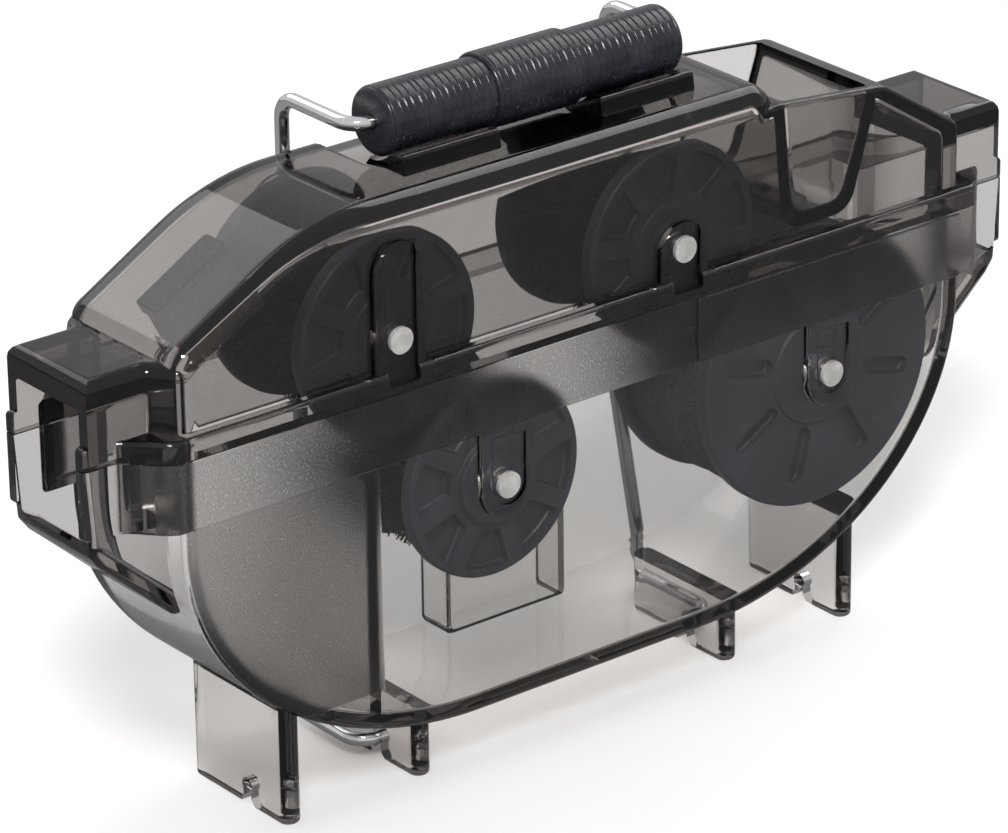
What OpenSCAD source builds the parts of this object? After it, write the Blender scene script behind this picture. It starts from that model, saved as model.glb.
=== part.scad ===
// Bike chain cleaner: a clear tub and lid that close round a chain, with three
// brush wheels, one sponge wheel, a fixed brush and a wire bail with a grip.
// X runs along the chain, -Y is the front, +Z is up, and the feet stand at z = 0.

/* [Case] */
// Length over the two chain ports
ports_length = 204; // [190:1:240]
// Length of the case between its two ends
case_length = 175; // [168:1:185]
// Depth of the belt along the seam, front to back
belt_depth = 37.2; // [36:0.2:44]
// Height of the seam between tub and lid above the table
seam_height = 76.6; // [74:0.2:84]
// Wall thickness of the tub and the lid
wall = 2.4; // [1.6:0.1:2.8]
// Gap left open along the seam
seam_gap = 0.2; // [0.1:0.05:0.3]

/* [Tub] */
// How far the tub's sides stand in from the belt
tub_inset = 1; // [0.5:0.1:1.4]
// Height of the flat bottom above the table
belly_height = 10.8; // [9:0.2:14]
// Length of the flat bottom
belly_length = 50; // [40:1:60]
// Height at which the curved ends turn upright
bow_height = 60; // [58:0.5:62]
// Height of the matt belt below the seam
belt_drop = 12.8; // [10:0.2:14]
// Place of the baffle plate along the tub
baffle_x = -47.6; // [-50:0.2:-46]
// Height of the baffle's top edge above the table
baffle_top = 60.6; // [40:0.2:62]

/* [Chain ports] */
// Width of each port over its walls
port_width = 22.8; // [21:0.2:26]
// Thickness of a port's side walls
port_wall = 2.4; // [1.6:0.1:2.6]
// Height of the ports' roof above the seam
port_rise = 15.6; // [14:0.2:17]
// Depth of the ports' mouth below the seam, outside
port_drop = 15.8; // [14:0.2:18]

/* [Lid] */
// Height of the lid's roof above the seam
roof_rise = 33.8; // [32:0.2:40]
// Thickness of the roof
roof_wall = 4; // [3.6:0.1:4.4]
// Depth of the lid, front to back
lid_depth = 32.8; // [32:0.2:35]
// Radius of the roof's long edges
roof_round = 4; // [2:0.5:5]
// Height of the rim along the lid's foot
rim_height = 4; // [3:0.2:5]
// Height of the filler trough's crest above the seam
crest_rise = 27.4; // [25:0.2:30]
// Depth of the filler trough's floor above the seam
trough_floor_rise = 7.4; // [6.6:0.2:10]

/* [Feet] */
// Distance from the middle to the outer feet
outer_foot_x = 63.4; // [60:0.2:66]
// Distance from the middle to the inner feet
inner_foot_x = 35.2; // [34:0.2:36]
// Thickness of a foot
foot_thick = 4; // [3:0.2:5]
// Length of a foot, front to back
foot_length = 27.4; // [24:0.2:30]

/* [Wheels] */
// Place of the upper left wheel along the case
upper_left_x = -41.5; // [-43:0.1:-40]
// Place of the upper middle wheel along the case
upper_middle_x = 20.8; // [19:0.1:22]
// Height of the upper axles above the seam
upper_axle_rise = 9.1; // [9:0.1:11]
// Place of the lower left wheel along the case
lower_left_x = -19.4; // [-20:0.1:-18]
// Place of the sponge wheel along the case
lower_right_x = 54.8; // [54:0.1:55.4]
// Depth of the lower axles below the seam
lower_axle_drop = 23.7; // [23.4:0.1:25]
// Diameter of the brush wheels
brush_wheel_d = 37; // [34:0.2:38]
// Gap between the sponge wheel's rim and the tub's curved end
sponge_wheel_gap = 0.23; // [0.2:0.01:3]
// Diameter of the steel axles
axle_d = 4.8; // [4:0.1:5]
// Gap between an axle and a wheel's bore, all round
axle_play = 0.1; // [0.05:0.01:0.1]
// Gap between an axle and its hole in a wall, all round
axle_seat_play = 0.04; // [0.02:0.01:0.1]
// Distance between the outer faces of a wheel's two discs
wheel_width = 26.8; // [24:0.2:27]
// Thickness of a disc
disc_thick = 2.8; // [2:0.1:3]

/* [Brushes] */
// Strands round a brush wheel
strands_round = 20; // [16:1:20]
// Rows of strands along a brush wheel
strand_rows = 5; // [4:1:5]
// Side of a strand
strand_side = 1; // [0.8:0.1:1.2]
// Distance from a strand's tip to the rim of its discs
tip_depth = 0.9; // [0.5:0.1:2]
// Length of the fixed brush along the sloping roof
fixed_brush_length = 17; // [12:0.5:18]
// Length of its bristles
fixed_bristle_length = 8.5; // [6:0.5:9]

/* [Bail] */
// Diameter of the wire
wire_d = 2.6; // [2:0.1:2.8]
// Height of the hinge above the table
hinge_height = 3.9; // [3.6:0.1:5]
// How far the hinge lies in front of the middle
hinge_forward = 2.5; // [0:0.1:4]
// Distance from the middle to the arms, at the grip
arm_x = 35.8; // [35.4:0.1:37]
// How far the grip sits left of the middle
grip_shift = 1.5; // [0:0.1:2]
// Length of the grip
grip_length = 64; // [58:1:66]
// Diameter of the grip's outer sleeves
grip_d = 12.4; // [11:0.2:12.8]
// Diameter of the grip's middle sleeve
grip_middle_d = 13.8; // [12.4:0.2:14]
// Height of the grip's middle above the seam
grip_rise = 41; // [40.8:0.2:44]

/* [Hidden] */
$fn = 64;

smoke = [0.30, 0.28, 0.28, 0.45];
dark_disc = [0.13, 0.14, 0.17];
steel = [0.62, 0.60, 0.57];
chrome = [0.85, 0.86, 0.88];
black_rubber = [0.12, 0.12, 0.13];
bristle_brown = [0.30, 0.24, 0.20];
foam_grey = [0.28, 0.29, 0.33];

// One overrun serves every cut that has to leave a face cleanly.
over = 1;

// Case, measured from its middle.
port_end = ports_length / 2;
case_end = case_length / 2;
belt_half = belt_depth / 2;
tub_half = belt_half - tub_inset;
tub_end = case_end - tub_inset;
tub_room = tub_half - wall;
lid_half = lid_depth / 2;
lid_wall_relief = 0.2;
lid_room = lid_half - wall + lid_wall_relief;
port_half = port_width / 2;
port_inner_run = 2;
port_room = port_half - port_wall;
port_belt_inset = 0.3;
lid_foot = seam_height + seam_gap;
roof = seam_height + roof_rise;

// Axles.
upper_axle_z = seam_height + upper_axle_rise;
lower_axle_z = seam_height - lower_axle_drop;
boss_proud = 1.5;
upper_axle_reach = lid_half + boss_proud;
lower_axle_reach = belt_half;
boss_width = 11;
tongue_width = 12.4;

// How far each wheel is turned at rest.
upper_left_turn = 17;
upper_middle_turn = -9.5;
lower_left_turn = 15;
lower_right_turn = -14.4;

// Tub outline, an ellipse at each end of a flat belly, drawn inset by t.
bow_steps = 16;
function bow(t, side) = [for (i = [0:bow_steps])
    let (a = 90 * i / bow_steps)
    [side * (belly_length / 2 + (tub_end - belly_length / 2 - t) * sin(a)),
     bow_height - (bow_height - belly_height - t) * cos(a)]];

// The sponge wheel fills the curved end but for its gap: its room is the least distance from its
// axle to the curve's chords.
function to_chord(a, b, p) = let (s = b - a, u = max(0, min(1, (p - a) * s / (s * s))))
    norm(a + u * s - p);
inner_bow = bow(wall, 1);
sponge_room = min([for (i = [1:bow_steps])
    to_chord(inner_bow[i - 1], inner_bow[i], [lower_right_x, lower_axle_z])]);
sponge_wheel_d = 2 * (sponge_room - sponge_wheel_gap);
function reversed(list) = [for (i = [len(list) - 1:-1:0]) list[i]];
function tub_outline(t, top) = concat([[-tub_end + t, top]], reversed(bow(t, -1)),
    bow(t, 1), [[tub_end - t, top]]);

// Port outline below the seam, inset by t: a lip at the mouth, then a slope down to the tub.
port_lip_fall = 2.4;
port_lip_drop = port_drop + port_lip_fall;
port_lean = 1;
port_toe = 2.8;
port_root_drop = 31;
port_root_run = 17;
slope_share = 0.5;
port_inner_x = -case_end + 2 * wall + port_inner_run;
function port_low(t, top) = [
    [-port_end - t, top],
    [-port_end - t, 0],
    [-port_end + port_lean - t, -port_drop + t],
    [-port_end + port_toe + t * slope_share, -port_lip_drop + t],
    [-port_end + port_root_run + t * slope_share, -port_root_drop + t],
    [port_inner_x, -port_root_drop + t],
    [port_inner_x, top]];

// Plan of the belt: the ports swell out to the case in a soft step.
step_run = 5.6;
port_belt_half = port_half - port_belt_inset;
step_shares = [[0, 0], [0.36, 0.1], [0.6, 0.32], [0.72, 0.62], [0.82, 0.9], [1, 1]];
function step_points(half, port, end, side) = [for (s = step_shares)
    [side * (end + step_run * (1 - s[0])), port + (half - port) * s[1]]];
module belt_plan(half, port, end, reach) {
    left = step_points(half, port, end, -1);
    polygon(concat([[-reach, -port]], [for (p = left) [p[0], -p[1]]],
        reversed([for (p = step_points(half, port, end, 1)) [p[0], -p[1]]]),
        [[reach, -port], [reach, port]], step_points(half, port, end, 1), reversed(left),
        [[-reach, port]]));
}

// Extrudes an outline drawn in X and Z across the case, centred on its middle plane.
module across(depth) {
    rotate([90, 0, 0]) linear_extrude(height = depth, center = true) children();
}
// Extrudes an outline drawn in Y and Z along X, centred.
module along(length) {
    rotate([90, 0, 90]) linear_extrude(height = length, center = true) children();
}
module both_ends() {
    children();
    mirror([1, 0, 0]) children();
}
module cross_cylinder(x, z, r, length) {
    translate([x, 0, z]) rotate([90, 0, 0]) cylinder(r = r, h = length, center = true);
}

// Feet.
foot_corner = foot_thick / 2;
hinge_play = 0.15;
hinge_hole_r = wire_d / 2 + hinge_play;
snap_bite = 0.4;
snap_width = wire_d - snap_bite;
lead_width = 4.6;
lead_height = 1.6;
foot_root = 12;
outer_foot_root = 18;

module foot_notch() {
    along(foot_thick + 2 * over) {
        translate([-hinge_forward, hinge_height]) circle(r = hinge_hole_r);
        translate([-hinge_forward - snap_width / 2, -over]) square([snap_width, hinge_height + over]);
        polygon([[-hinge_forward - lead_width / 2 - lead_height, -lead_height],
            [-hinge_forward + lead_width / 2 + lead_height, -lead_height],
            [-hinge_forward, lead_height]]);
    }
}
module foot(x, top) {
    translate([x, 0, 0]) difference() {
        linear_extrude(height = top) {
            square([foot_thick, foot_length - foot_thick], center = true);
            for (side = [-1, 1])
                translate([0, side * (foot_length - foot_thick) / 2]) circle(r = foot_corner);
        }
        foot_notch();
    }
}

// The tongues that carry the lower axles below the belt.
module tongue(x) {
    across(2 * belt_half) {
        translate([x, lower_axle_z]) circle(r = tongue_width / 2);
        translate([x - tongue_width / 2, lower_axle_z])
            square([tongue_width, seam_height - belt_drop - lower_axle_z + over]);
    }
}

label_x = 22.8;
label_end_gap = 2.4;
label_low = 12.6;
label_proud = 0.4;
label_top_gap = 0.4;

module lower_shell() {
    color(smoke) placed() {
        difference() {
            union() {
                across(2 * tub_half) polygon(tub_outline(0, seam_height));
                translate([0, 0, seam_height - belt_drop]) linear_extrude(height = belt_drop)
                    belt_plan(belt_half, port_belt_half, case_end, case_end + step_run);
                both_ends() translate([0, 0, seam_height]) across(port_width)
                    polygon(port_low(0, 0));
                for (x = [lower_left_x, lower_right_x]) tongue(x);
                translate([label_x, -belt_half - label_proud, seam_height - label_low])
                    cube([case_end - label_end_gap - label_x, belt_half, label_low - label_top_gap]);
                for (side = [-1, 1]) {
                    foot(side * inner_foot_x, belly_height + foot_root);
                    foot(side * outer_foot_x, belly_height + outer_foot_root);
                }
            }
            across(2 * tub_room) polygon(tub_outline(wall, seam_height + over));
            both_ends() translate([0, 0, seam_height]) across(2 * port_room)
                polygon(port_low(wall, over));
            for (x = [lower_left_x, lower_right_x])
                cross_cylinder(x, lower_axle_z, axle_d / 2 + axle_seat_play, 2 * (belt_half + over));
        }
        baffle();
    }
}

baffle_sink = 0.6;
module baffle() {
    intersection() {
        translate([baffle_x - wall / 2, -tub_room - baffle_sink, belly_height])
            cube([wall, 2 * (tub_room + baffle_sink), baffle_top - belly_height]);
        across(2 * tub_half) polygon(tub_outline(wall - baffle_sink, seam_height));
    }
}

// Lid outline above the seam, from the left port over the roof to the right port.
shoulder_x = -86;
shoulder_rise = 17.4;
roof_left_x = -57.5;
port_round = 2.4;
port_roof = 5.4;
roof_right_x = 41;
crest_x = 68.6;
right_shoulder_x = 84.6;
right_shoulder_rise = 17.2;
roof_drop_run = 3;
roof_drop_fall = 4;
function lid_outline(t) = [
    [-port_end + port_lean + t, -t],
    [-port_end + port_lean + t, port_rise - port_round],
    [-port_end + port_lean + port_round + t, port_rise - t],
    [shoulder_x + t / 2, shoulder_rise - t],
    [roof_left_x + t / 2, roof_rise - t],
    [roof_right_x - t / 2, roof_rise - t],
    [roof_right_x + roof_drop_run - t, roof_rise - roof_drop_fall - t],
    [crest_x, crest_rise - t],
    [right_shoulder_x - t / 2, right_shoulder_rise - t],
    [case_end - tub_inset, port_rise - t],
    [port_end - port_lean - port_round - t, port_rise - t],
    [port_end - port_lean - t, port_rise - port_round],
    [port_end - port_lean - t, -t]];

// The filler trough, a cup with slanting sides sunk into the lid.
trough_left_top = 45.2;
trough_left_foot = 47.4;
trough_right_top = 65.2;
trough_right_foot = 59;
trough_wall = 2.2;
trough_skin = 1.6;
trough_corner = 4;
trough_flare = 2;
drain_d = 5;
function trough_outline(t) = [
    [trough_left_top - t, roof_rise + over],
    [trough_left_top - t, crest_rise + trough_flare],
    [trough_left_foot - t, trough_floor_rise + trough_corner - t / 2],
    [trough_left_foot + trough_corner - t / 2, trough_floor_rise - t],
    [trough_right_foot - trough_corner + t / 2, trough_floor_rise - t],
    [trough_right_foot + t, trough_floor_rise + trough_corner - t / 2],
    [trough_right_top + t, crest_rise - trough_flare],
    [trough_right_top + t + trough_flare, roof_rise + over]];

// Saddles that steady the grip on the roof.
saddle_length = 21;
saddle_gap = 22;
saddle_front = 9.3;
saddle_back = 2;
saddle_rise = 3.4;
saddle_play = 0.4;
saddle_lean = 0.8;
saddle_ridge = 1.8;
saddle_heel = 0.6;
grip_z = seam_height + grip_rise;

module saddle(x) {
    translate([x, 0, 0]) difference() {
        along(saddle_length) polygon([[-saddle_front, roof - over],
            [-saddle_front + saddle_lean, roof + saddle_rise],
            [-saddle_front + saddle_lean + saddle_ridge, roof + saddle_rise],
            [0, roof + saddle_rise / 2], [saddle_back, roof - saddle_heel], [saddle_back, roof - over]]);
        translate([0, 0, grip_z]) rotate([0, 90, 0])
            cylinder(r = grip_d / 2 + saddle_play, h = saddle_length + 2 * over, center = true);
    }
}

// Shallow ramp in the roof behind the grip, which lets the grip swing back.
ramp_front = -4;
ramp_fall = 3.2;
ramp_reach = 20;
ramp_side = 1.6;
module swing_ramp() {
    translate([-grip_shift, 0, 0]) along(grip_length + 2 * ramp_side) polygon([
        [ramp_front, roof], [ramp_reach, roof - ramp_fall],
        [ramp_reach, roof + over], [ramp_front, roof + over]]);
}

// Raised arches on the lid's front and back that carry the upper axles.
left_arch_rise = 26.8;
middle_arch_rise = 14;
module arch(x, rise) {
    across(2 * upper_axle_reach) {
        translate([x, seam_height + rise - boss_width / 2]) circle(r = boss_width / 2);
        translate([x - boss_width / 2, lid_foot])
            square([boss_width, rise - boss_width / 2]);
    }
}

module lid_section() {
    rise = roof - lid_foot;
    translate([-lid_half, lid_foot]) square([lid_depth, rise - roof_round]);
    translate([-lid_half + roof_round, lid_foot]) square([lid_depth - 2 * roof_round, rise]);
    for (side = [-1, 1])
        translate([side * (lid_half - roof_round), roof - roof_round]) circle(r = roof_round);
}

module lid() {
    color(smoke) placed() {
        difference() {
            union() {
                difference() {
                    intersection() {
                        translate([0, 0, seam_height]) across(lid_depth)
                            polygon(lid_outline(0));
                        union() {
                            along(2 * (case_end - tub_inset)) lid_section();
                            translate([-port_end, -port_belt_half, lid_foot])
                                cube([2 * port_end, 2 * port_belt_half, port_rise]);
                        }
                    }
                    swing_ramp();
                }
                translate([0, 0, lid_foot]) linear_extrude(height = rim_height - seam_gap)
                    belt_plan(belt_half, port_belt_half, case_end, case_end + step_run);
                arch(upper_left_x, left_arch_rise);
                arch(upper_middle_x, middle_arch_rise);
                for (side = [-1, 1]) saddle(-grip_shift + side * (saddle_length + saddle_gap) / 2);
            }
            lid_cavity();
            translate([0, 0, seam_height]) across(2 * (lid_half - trough_skin))
                polygon(trough_outline(0));
            translate([(trough_left_foot + trough_right_foot) / 2, 0, seam_height])
                cylinder(d = drain_d, h = trough_floor_rise + over);
            for (x = [upper_left_x, upper_middle_x])
                cross_cylinder(x, upper_axle_z, axle_d / 2 + axle_seat_play, 2 * (upper_axle_reach + over));
        }
    }
}
module lid_cavity() {
    difference() {
        union() {
            translate([0, 0, seam_height]) across(2 * lid_room) intersection() {
                polygon(lid_outline(wall));
                translate([-case_end + tub_inset + wall, -over])
                    square([2 * (case_end - tub_inset - wall), roof_rise - roof_wall + over]);
            }
            both_ends() translate([-port_end - over, -port_room, seam_height - over])
                cube([port_end + port_inner_x + over, 2 * port_room, port_rise - port_roof + over]);
        }
        translate([0, 0, seam_height]) across(lid_depth) polygon(trough_outline(trough_wall));
    }
}

// Axles, set flush with the bosses that carry them.
module upper_axle(x) cross_cylinder(x, upper_axle_z, axle_d / 2, 2 * upper_axle_reach);
module lower_axle(x) cross_cylinder(x, lower_axle_z, axle_d / 2, 2 * lower_axle_reach);
module axle_upper_left() {
    color(steel) placed() upper_axle(upper_left_x);
}
module axle_upper_middle() {
    color(steel) placed() upper_axle(upper_middle_x);
}
module axle_lower_left() {
    color(steel) placed() lower_axle(lower_left_x);
}
module axle_lower_right() {
    color(steel) placed() lower_axle(lower_right_x);
}

// Wheels: two discs on half sleeves, with bristles or foam between them.
sleeve_r = 5.4;
collar_r = 5;
collar_play = 0.3;
disc_face = wheel_width / 2;
rim_width = 1.8;
hub_r = 9.6;
hub_boss_r = 8;
pocket_depth = 1.2;
spoke_count = 8;
spoke_width = 3.4;
slot_count = 8;
slot_width = 3.4;
slot_hub_gap = 2.4;
slot_rim_gap = 6;
sponge_hub_r = 10.6;
slot_inner = sponge_hub_r + slot_hub_gap;
slot_outer = sponge_wheel_d / 2 - slot_rim_gap;
sponge_hub_proud = 0.6;

module disc_body(d, collar_reach) {
    difference() {
        union() {
            translate([0, 0, disc_face - disc_thick]) cylinder(d = d, h = disc_thick, $fn = 96);
            translate([0, 0, collar_play / 2])
                cylinder(r = sleeve_r, h = disc_face - disc_thick / 2);
            cylinder(r = collar_r, h = collar_reach);
        }
        translate([0, 0, -over]) cylinder(d = axle_d + 2 * axle_play, h = collar_reach + 2 * over);
        translate([0, 0, -over]) cylinder(r = collar_r + over, h = collar_play / 2 + over);
    }
}
module spoked_disc(d, collar_reach) {
    difference() {
        union() {
            disc_body(d, collar_reach);
            translate([0, 0, disc_face - over])
                cylinder(r = hub_boss_r, h = collar_reach - disc_face + over);
        }
        translate([0, 0, -over]) cylinder(d = axle_d + 2 * axle_play, h = collar_reach + 2 * over);
        translate([0, 0, disc_face - pocket_depth]) linear_extrude(height = pocket_depth + over)
            difference() {
                circle(r = d / 2 - rim_width, $fn = 96);
                circle(r = hub_r);
                for (i = [0:spoke_count / 2 - 1]) rotate(180 * i / (spoke_count / 2))
                    square([d, spoke_width], center = true);
            }
    }
}
module slotted_disc(d, collar_reach) {
    difference() {
        union() {
            disc_body(d, collar_reach);
            translate([0, 0, disc_face - over])
                cylinder(r = sponge_hub_r, h = sponge_hub_proud + over);
        }
        translate([0, 0, -over]) cylinder(d = axle_d + 2 * axle_play, h = collar_reach + 2 * over);
        for (i = [0:slot_count - 1]) rotate(360 * i / slot_count)
            translate([0, 0, disc_face - pocket_depth]) linear_extrude(height = pocket_depth + over) {
                translate([slot_inner, -slot_width / 2]) square([slot_outer - slot_inner, slot_width]);
                translate([slot_inner, 0]) circle(r = slot_width / 2);
                translate([slot_outer, 0]) circle(r = slot_width / 2);
            }
    }
}
// Stands a wheel's disc on its axle, facing the front (-1) or the back (1), turned at rest.
module on_axle(x, z, side, turn = 0) {
    translate([x, 0, z]) rotate([-90 * side, 0, 0]) rotate(-side * turn) children();
}
upper_collar = lid_room - collar_play;
lower_collar = tub_room - collar_play;

// A ring of backing with square strands grown out of its face, as one closed surface.
// Its grid has two columns and two rows to a strand, so each strand stands on a cell.
ring_inner_r = 6;
ring_outer_r = 8.6;
ring_play = 0.2;
ring_half = wheel_width / 2 - disc_thick - ring_play;
module bristle_ring(tip_r) {
    columns = 2 * strands_round;
    rows = 2 * strand_rows + 2;
    half_angle = asin(strand_side / 2 / ring_outer_r);
    pitch = 2 * ring_half / strand_rows;
    function angle(c) = 360 / strands_round * floor(c / 2) + (c % 2 == 0 ? -half_angle : half_angle);
    function height(r) = r == 0 ? -ring_half : r == rows - 1 ? ring_half
        : -ring_half + pitch * (floor((r - 1) / 2) + 0.5) + (r % 2 == 1 ? -1 : 1) * strand_side / 2;
    function spot(radius, c, r) = [radius * cos(angle(c)), radius * sin(angle(c)), height(r)];
    outer = [for (r = [0:rows - 1]) for (c = [0:columns - 1]) spot(ring_outer_r, c, r)];
    inner = [for (r = [0, rows - 1]) for (c = [0:columns - 1]) spot(ring_inner_r, c, r)];
    tip_scale = tip_r / ring_outer_r;
    tips = [for (s = [0:strand_rows - 1]) for (c = [0:columns - 1])
        for (r = [2 * s + 1, 2 * s + 2])
            let (a = 360 / strands_round * floor(c / 2), side = c % 2 == 0 ? -1 : 1)
            [tip_r * cos(a) - side * strand_side / 2 * sin(a),
             tip_r * sin(a) + side * strand_side / 2 * cos(a), height(r)]];
    inner_base = len(outer);
    tip_base = len(outer) + len(inner);
    function o(c, r) = r * columns + c % columns;
    function n(c, end) = inner_base + end * columns + c % columns;
    function t(c, s, k) = tip_base + (s * columns + c % columns) * 2 + k;
    is_strand = function (c, r) c % 2 == 0 && r % 2 == 1 && r < rows - 1;
    shell = [for (r = [0:rows - 2]) for (c = [0:columns - 1]) if (!is_strand(c, r))
        each [[o(c, r), o(c, r + 1), o(c + 1, r + 1)], [o(c, r), o(c + 1, r + 1), o(c + 1, r)]]];
    bore = [for (c = [0:columns - 1])
        each [[n(c, 0), n(c + 1, 1), n(c, 1)], [n(c, 0), n(c + 1, 0), n(c + 1, 1)]]];
    ends = [for (c = [0:columns - 1])
        each [[o(c, 0), o(c + 1, 0), n(c + 1, 0)], [o(c, 0), n(c + 1, 0), n(c, 0)],
              [o(c, rows - 1), n(c + 1, 1), o(c + 1, rows - 1)], [o(c, rows - 1), n(c, 1), n(c + 1, 1)]]];
    strands = [for (s = [0:strand_rows - 1]) for (i = [0:strands_round - 1])
        let (c = 2 * i, r = 2 * s + 1)
        each [[o(c, r), o(c, r + 1), t(c, s, 1)], [o(c, r), t(c, s, 1), t(c, s, 0)],
              [o(c + 1, r + 1), o(c + 1, r), t(c + 1, s, 0)], [o(c + 1, r + 1), t(c + 1, s, 0), t(c + 1, s, 1)],
              [o(c + 1, r), o(c, r), t(c, s, 0)], [o(c + 1, r), t(c, s, 0), t(c + 1, s, 0)],
              [o(c, r + 1), o(c + 1, r + 1), t(c + 1, s, 1)], [o(c, r + 1), t(c + 1, s, 1), t(c, s, 1)],
              [t(c, s, 0), t(c, s, 1), t(c + 1, s, 1)], [t(c, s, 0), t(c + 1, s, 1), t(c + 1, s, 0)]]];
    polyhedron(points = concat(outer, inner, tips), faces = concat(shell, bore, ends, strands));
}

// The three brush wheels: a spoked disc on each side of a ring of bristles.
module spoked_wheel_disc(x, z, side, turn, collar_reach) {
    on_axle(x, z, side, turn) spoked_disc(brush_wheel_d, collar_reach);
}
module bristles_at(x, z) {
    on_axle(x, z, -1) bristle_ring(brush_wheel_d / 2 - tip_depth);
}
module brush_wheel_left_front_disc() {
    color(dark_disc) placed() spoked_wheel_disc(upper_left_x, upper_axle_z, -1, upper_left_turn, upper_collar);
}
module brush_wheel_left_rear_disc() {
    color(dark_disc) placed() spoked_wheel_disc(upper_left_x, upper_axle_z, 1, upper_left_turn, upper_collar);
}
module brush_wheel_left_bristles() {
    color(bristle_brown) placed() bristles_at(upper_left_x, upper_axle_z);
}
module brush_wheel_middle_front_disc() {
    color(dark_disc) placed() spoked_wheel_disc(upper_middle_x, upper_axle_z, -1, upper_middle_turn, upper_collar);
}
module brush_wheel_middle_rear_disc() {
    color(dark_disc) placed() spoked_wheel_disc(upper_middle_x, upper_axle_z, 1, upper_middle_turn, upper_collar);
}
module brush_wheel_middle_bristles() {
    color(bristle_brown) placed() bristles_at(upper_middle_x, upper_axle_z);
}
module brush_wheel_lower_front_disc() {
    color(dark_disc) placed() spoked_wheel_disc(lower_left_x, lower_axle_z, -1, lower_left_turn, lower_collar);
}
module brush_wheel_lower_rear_disc() {
    color(dark_disc) placed() spoked_wheel_disc(lower_left_x, lower_axle_z, 1, lower_left_turn, lower_collar);
}
module brush_wheel_lower_bristles() {
    color(bristle_brown) placed() bristles_at(lower_left_x, lower_axle_z);
}

// The sponge wheel: a ring of foam between two slotted discs.
module sponge_wheel_front_disc() {
    color(dark_disc) placed() on_axle(lower_right_x, lower_axle_z, -1, lower_right_turn)
        slotted_disc(sponge_wheel_d, lower_collar);
}
module sponge_wheel_rear_disc() {
    color(dark_disc) placed() on_axle(lower_right_x, lower_axle_z, 1, lower_right_turn)
        slotted_disc(sponge_wheel_d, lower_collar);
}

sponge_edge = 1.2;
module sponge_ring() {
    color(foam_grey) placed() on_axle(lower_right_x, lower_axle_z, -1) difference() {
        cylinder(d = sponge_wheel_d - 2 * sponge_edge, h = 2 * ring_half, center = true, $fn = 96);
        cylinder(r = ring_inner_r, h = 2 * (ring_half + over), center = true);
    }
}

// The fixed brush hangs under the sloping roof, its bristles square to the slope.
slope_run = roof_left_x - shoulder_x;
slope_fall = roof_rise - shoulder_rise;
slope_angle = atan2(slope_fall, slope_run);
fixed_back_thick = 3;
fixed_back_play = 0.3;
fixed_back_top_gap = 8.4;
slope_bend_gap = wall * 0.5;
fixed_brush_half = 3;
fixed_brush_shift = 1.5;
module under_slope() {
    translate([roof_left_x, 0, roof]) rotate([0, -slope_angle, 0])
        translate([-slope_bend_gap, 0, -wall - fixed_back_play]) children();
}
module fixed_brush_back() {
    color(black_rubber) placed() under_slope()
        translate([-fixed_brush_length - fixed_back_top_gap, fixed_brush_shift - fixed_brush_half,
            -fixed_back_thick])
            cube([fixed_brush_length, 2 * fixed_brush_half, fixed_back_thick]);
}
bristle_pitch = 1.4;
fixed_rows = floor(fixed_brush_length / bristle_pitch);
fixed_columns = floor(2 * fixed_brush_half / bristle_pitch);
fixed_slice = 0.8;
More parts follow.
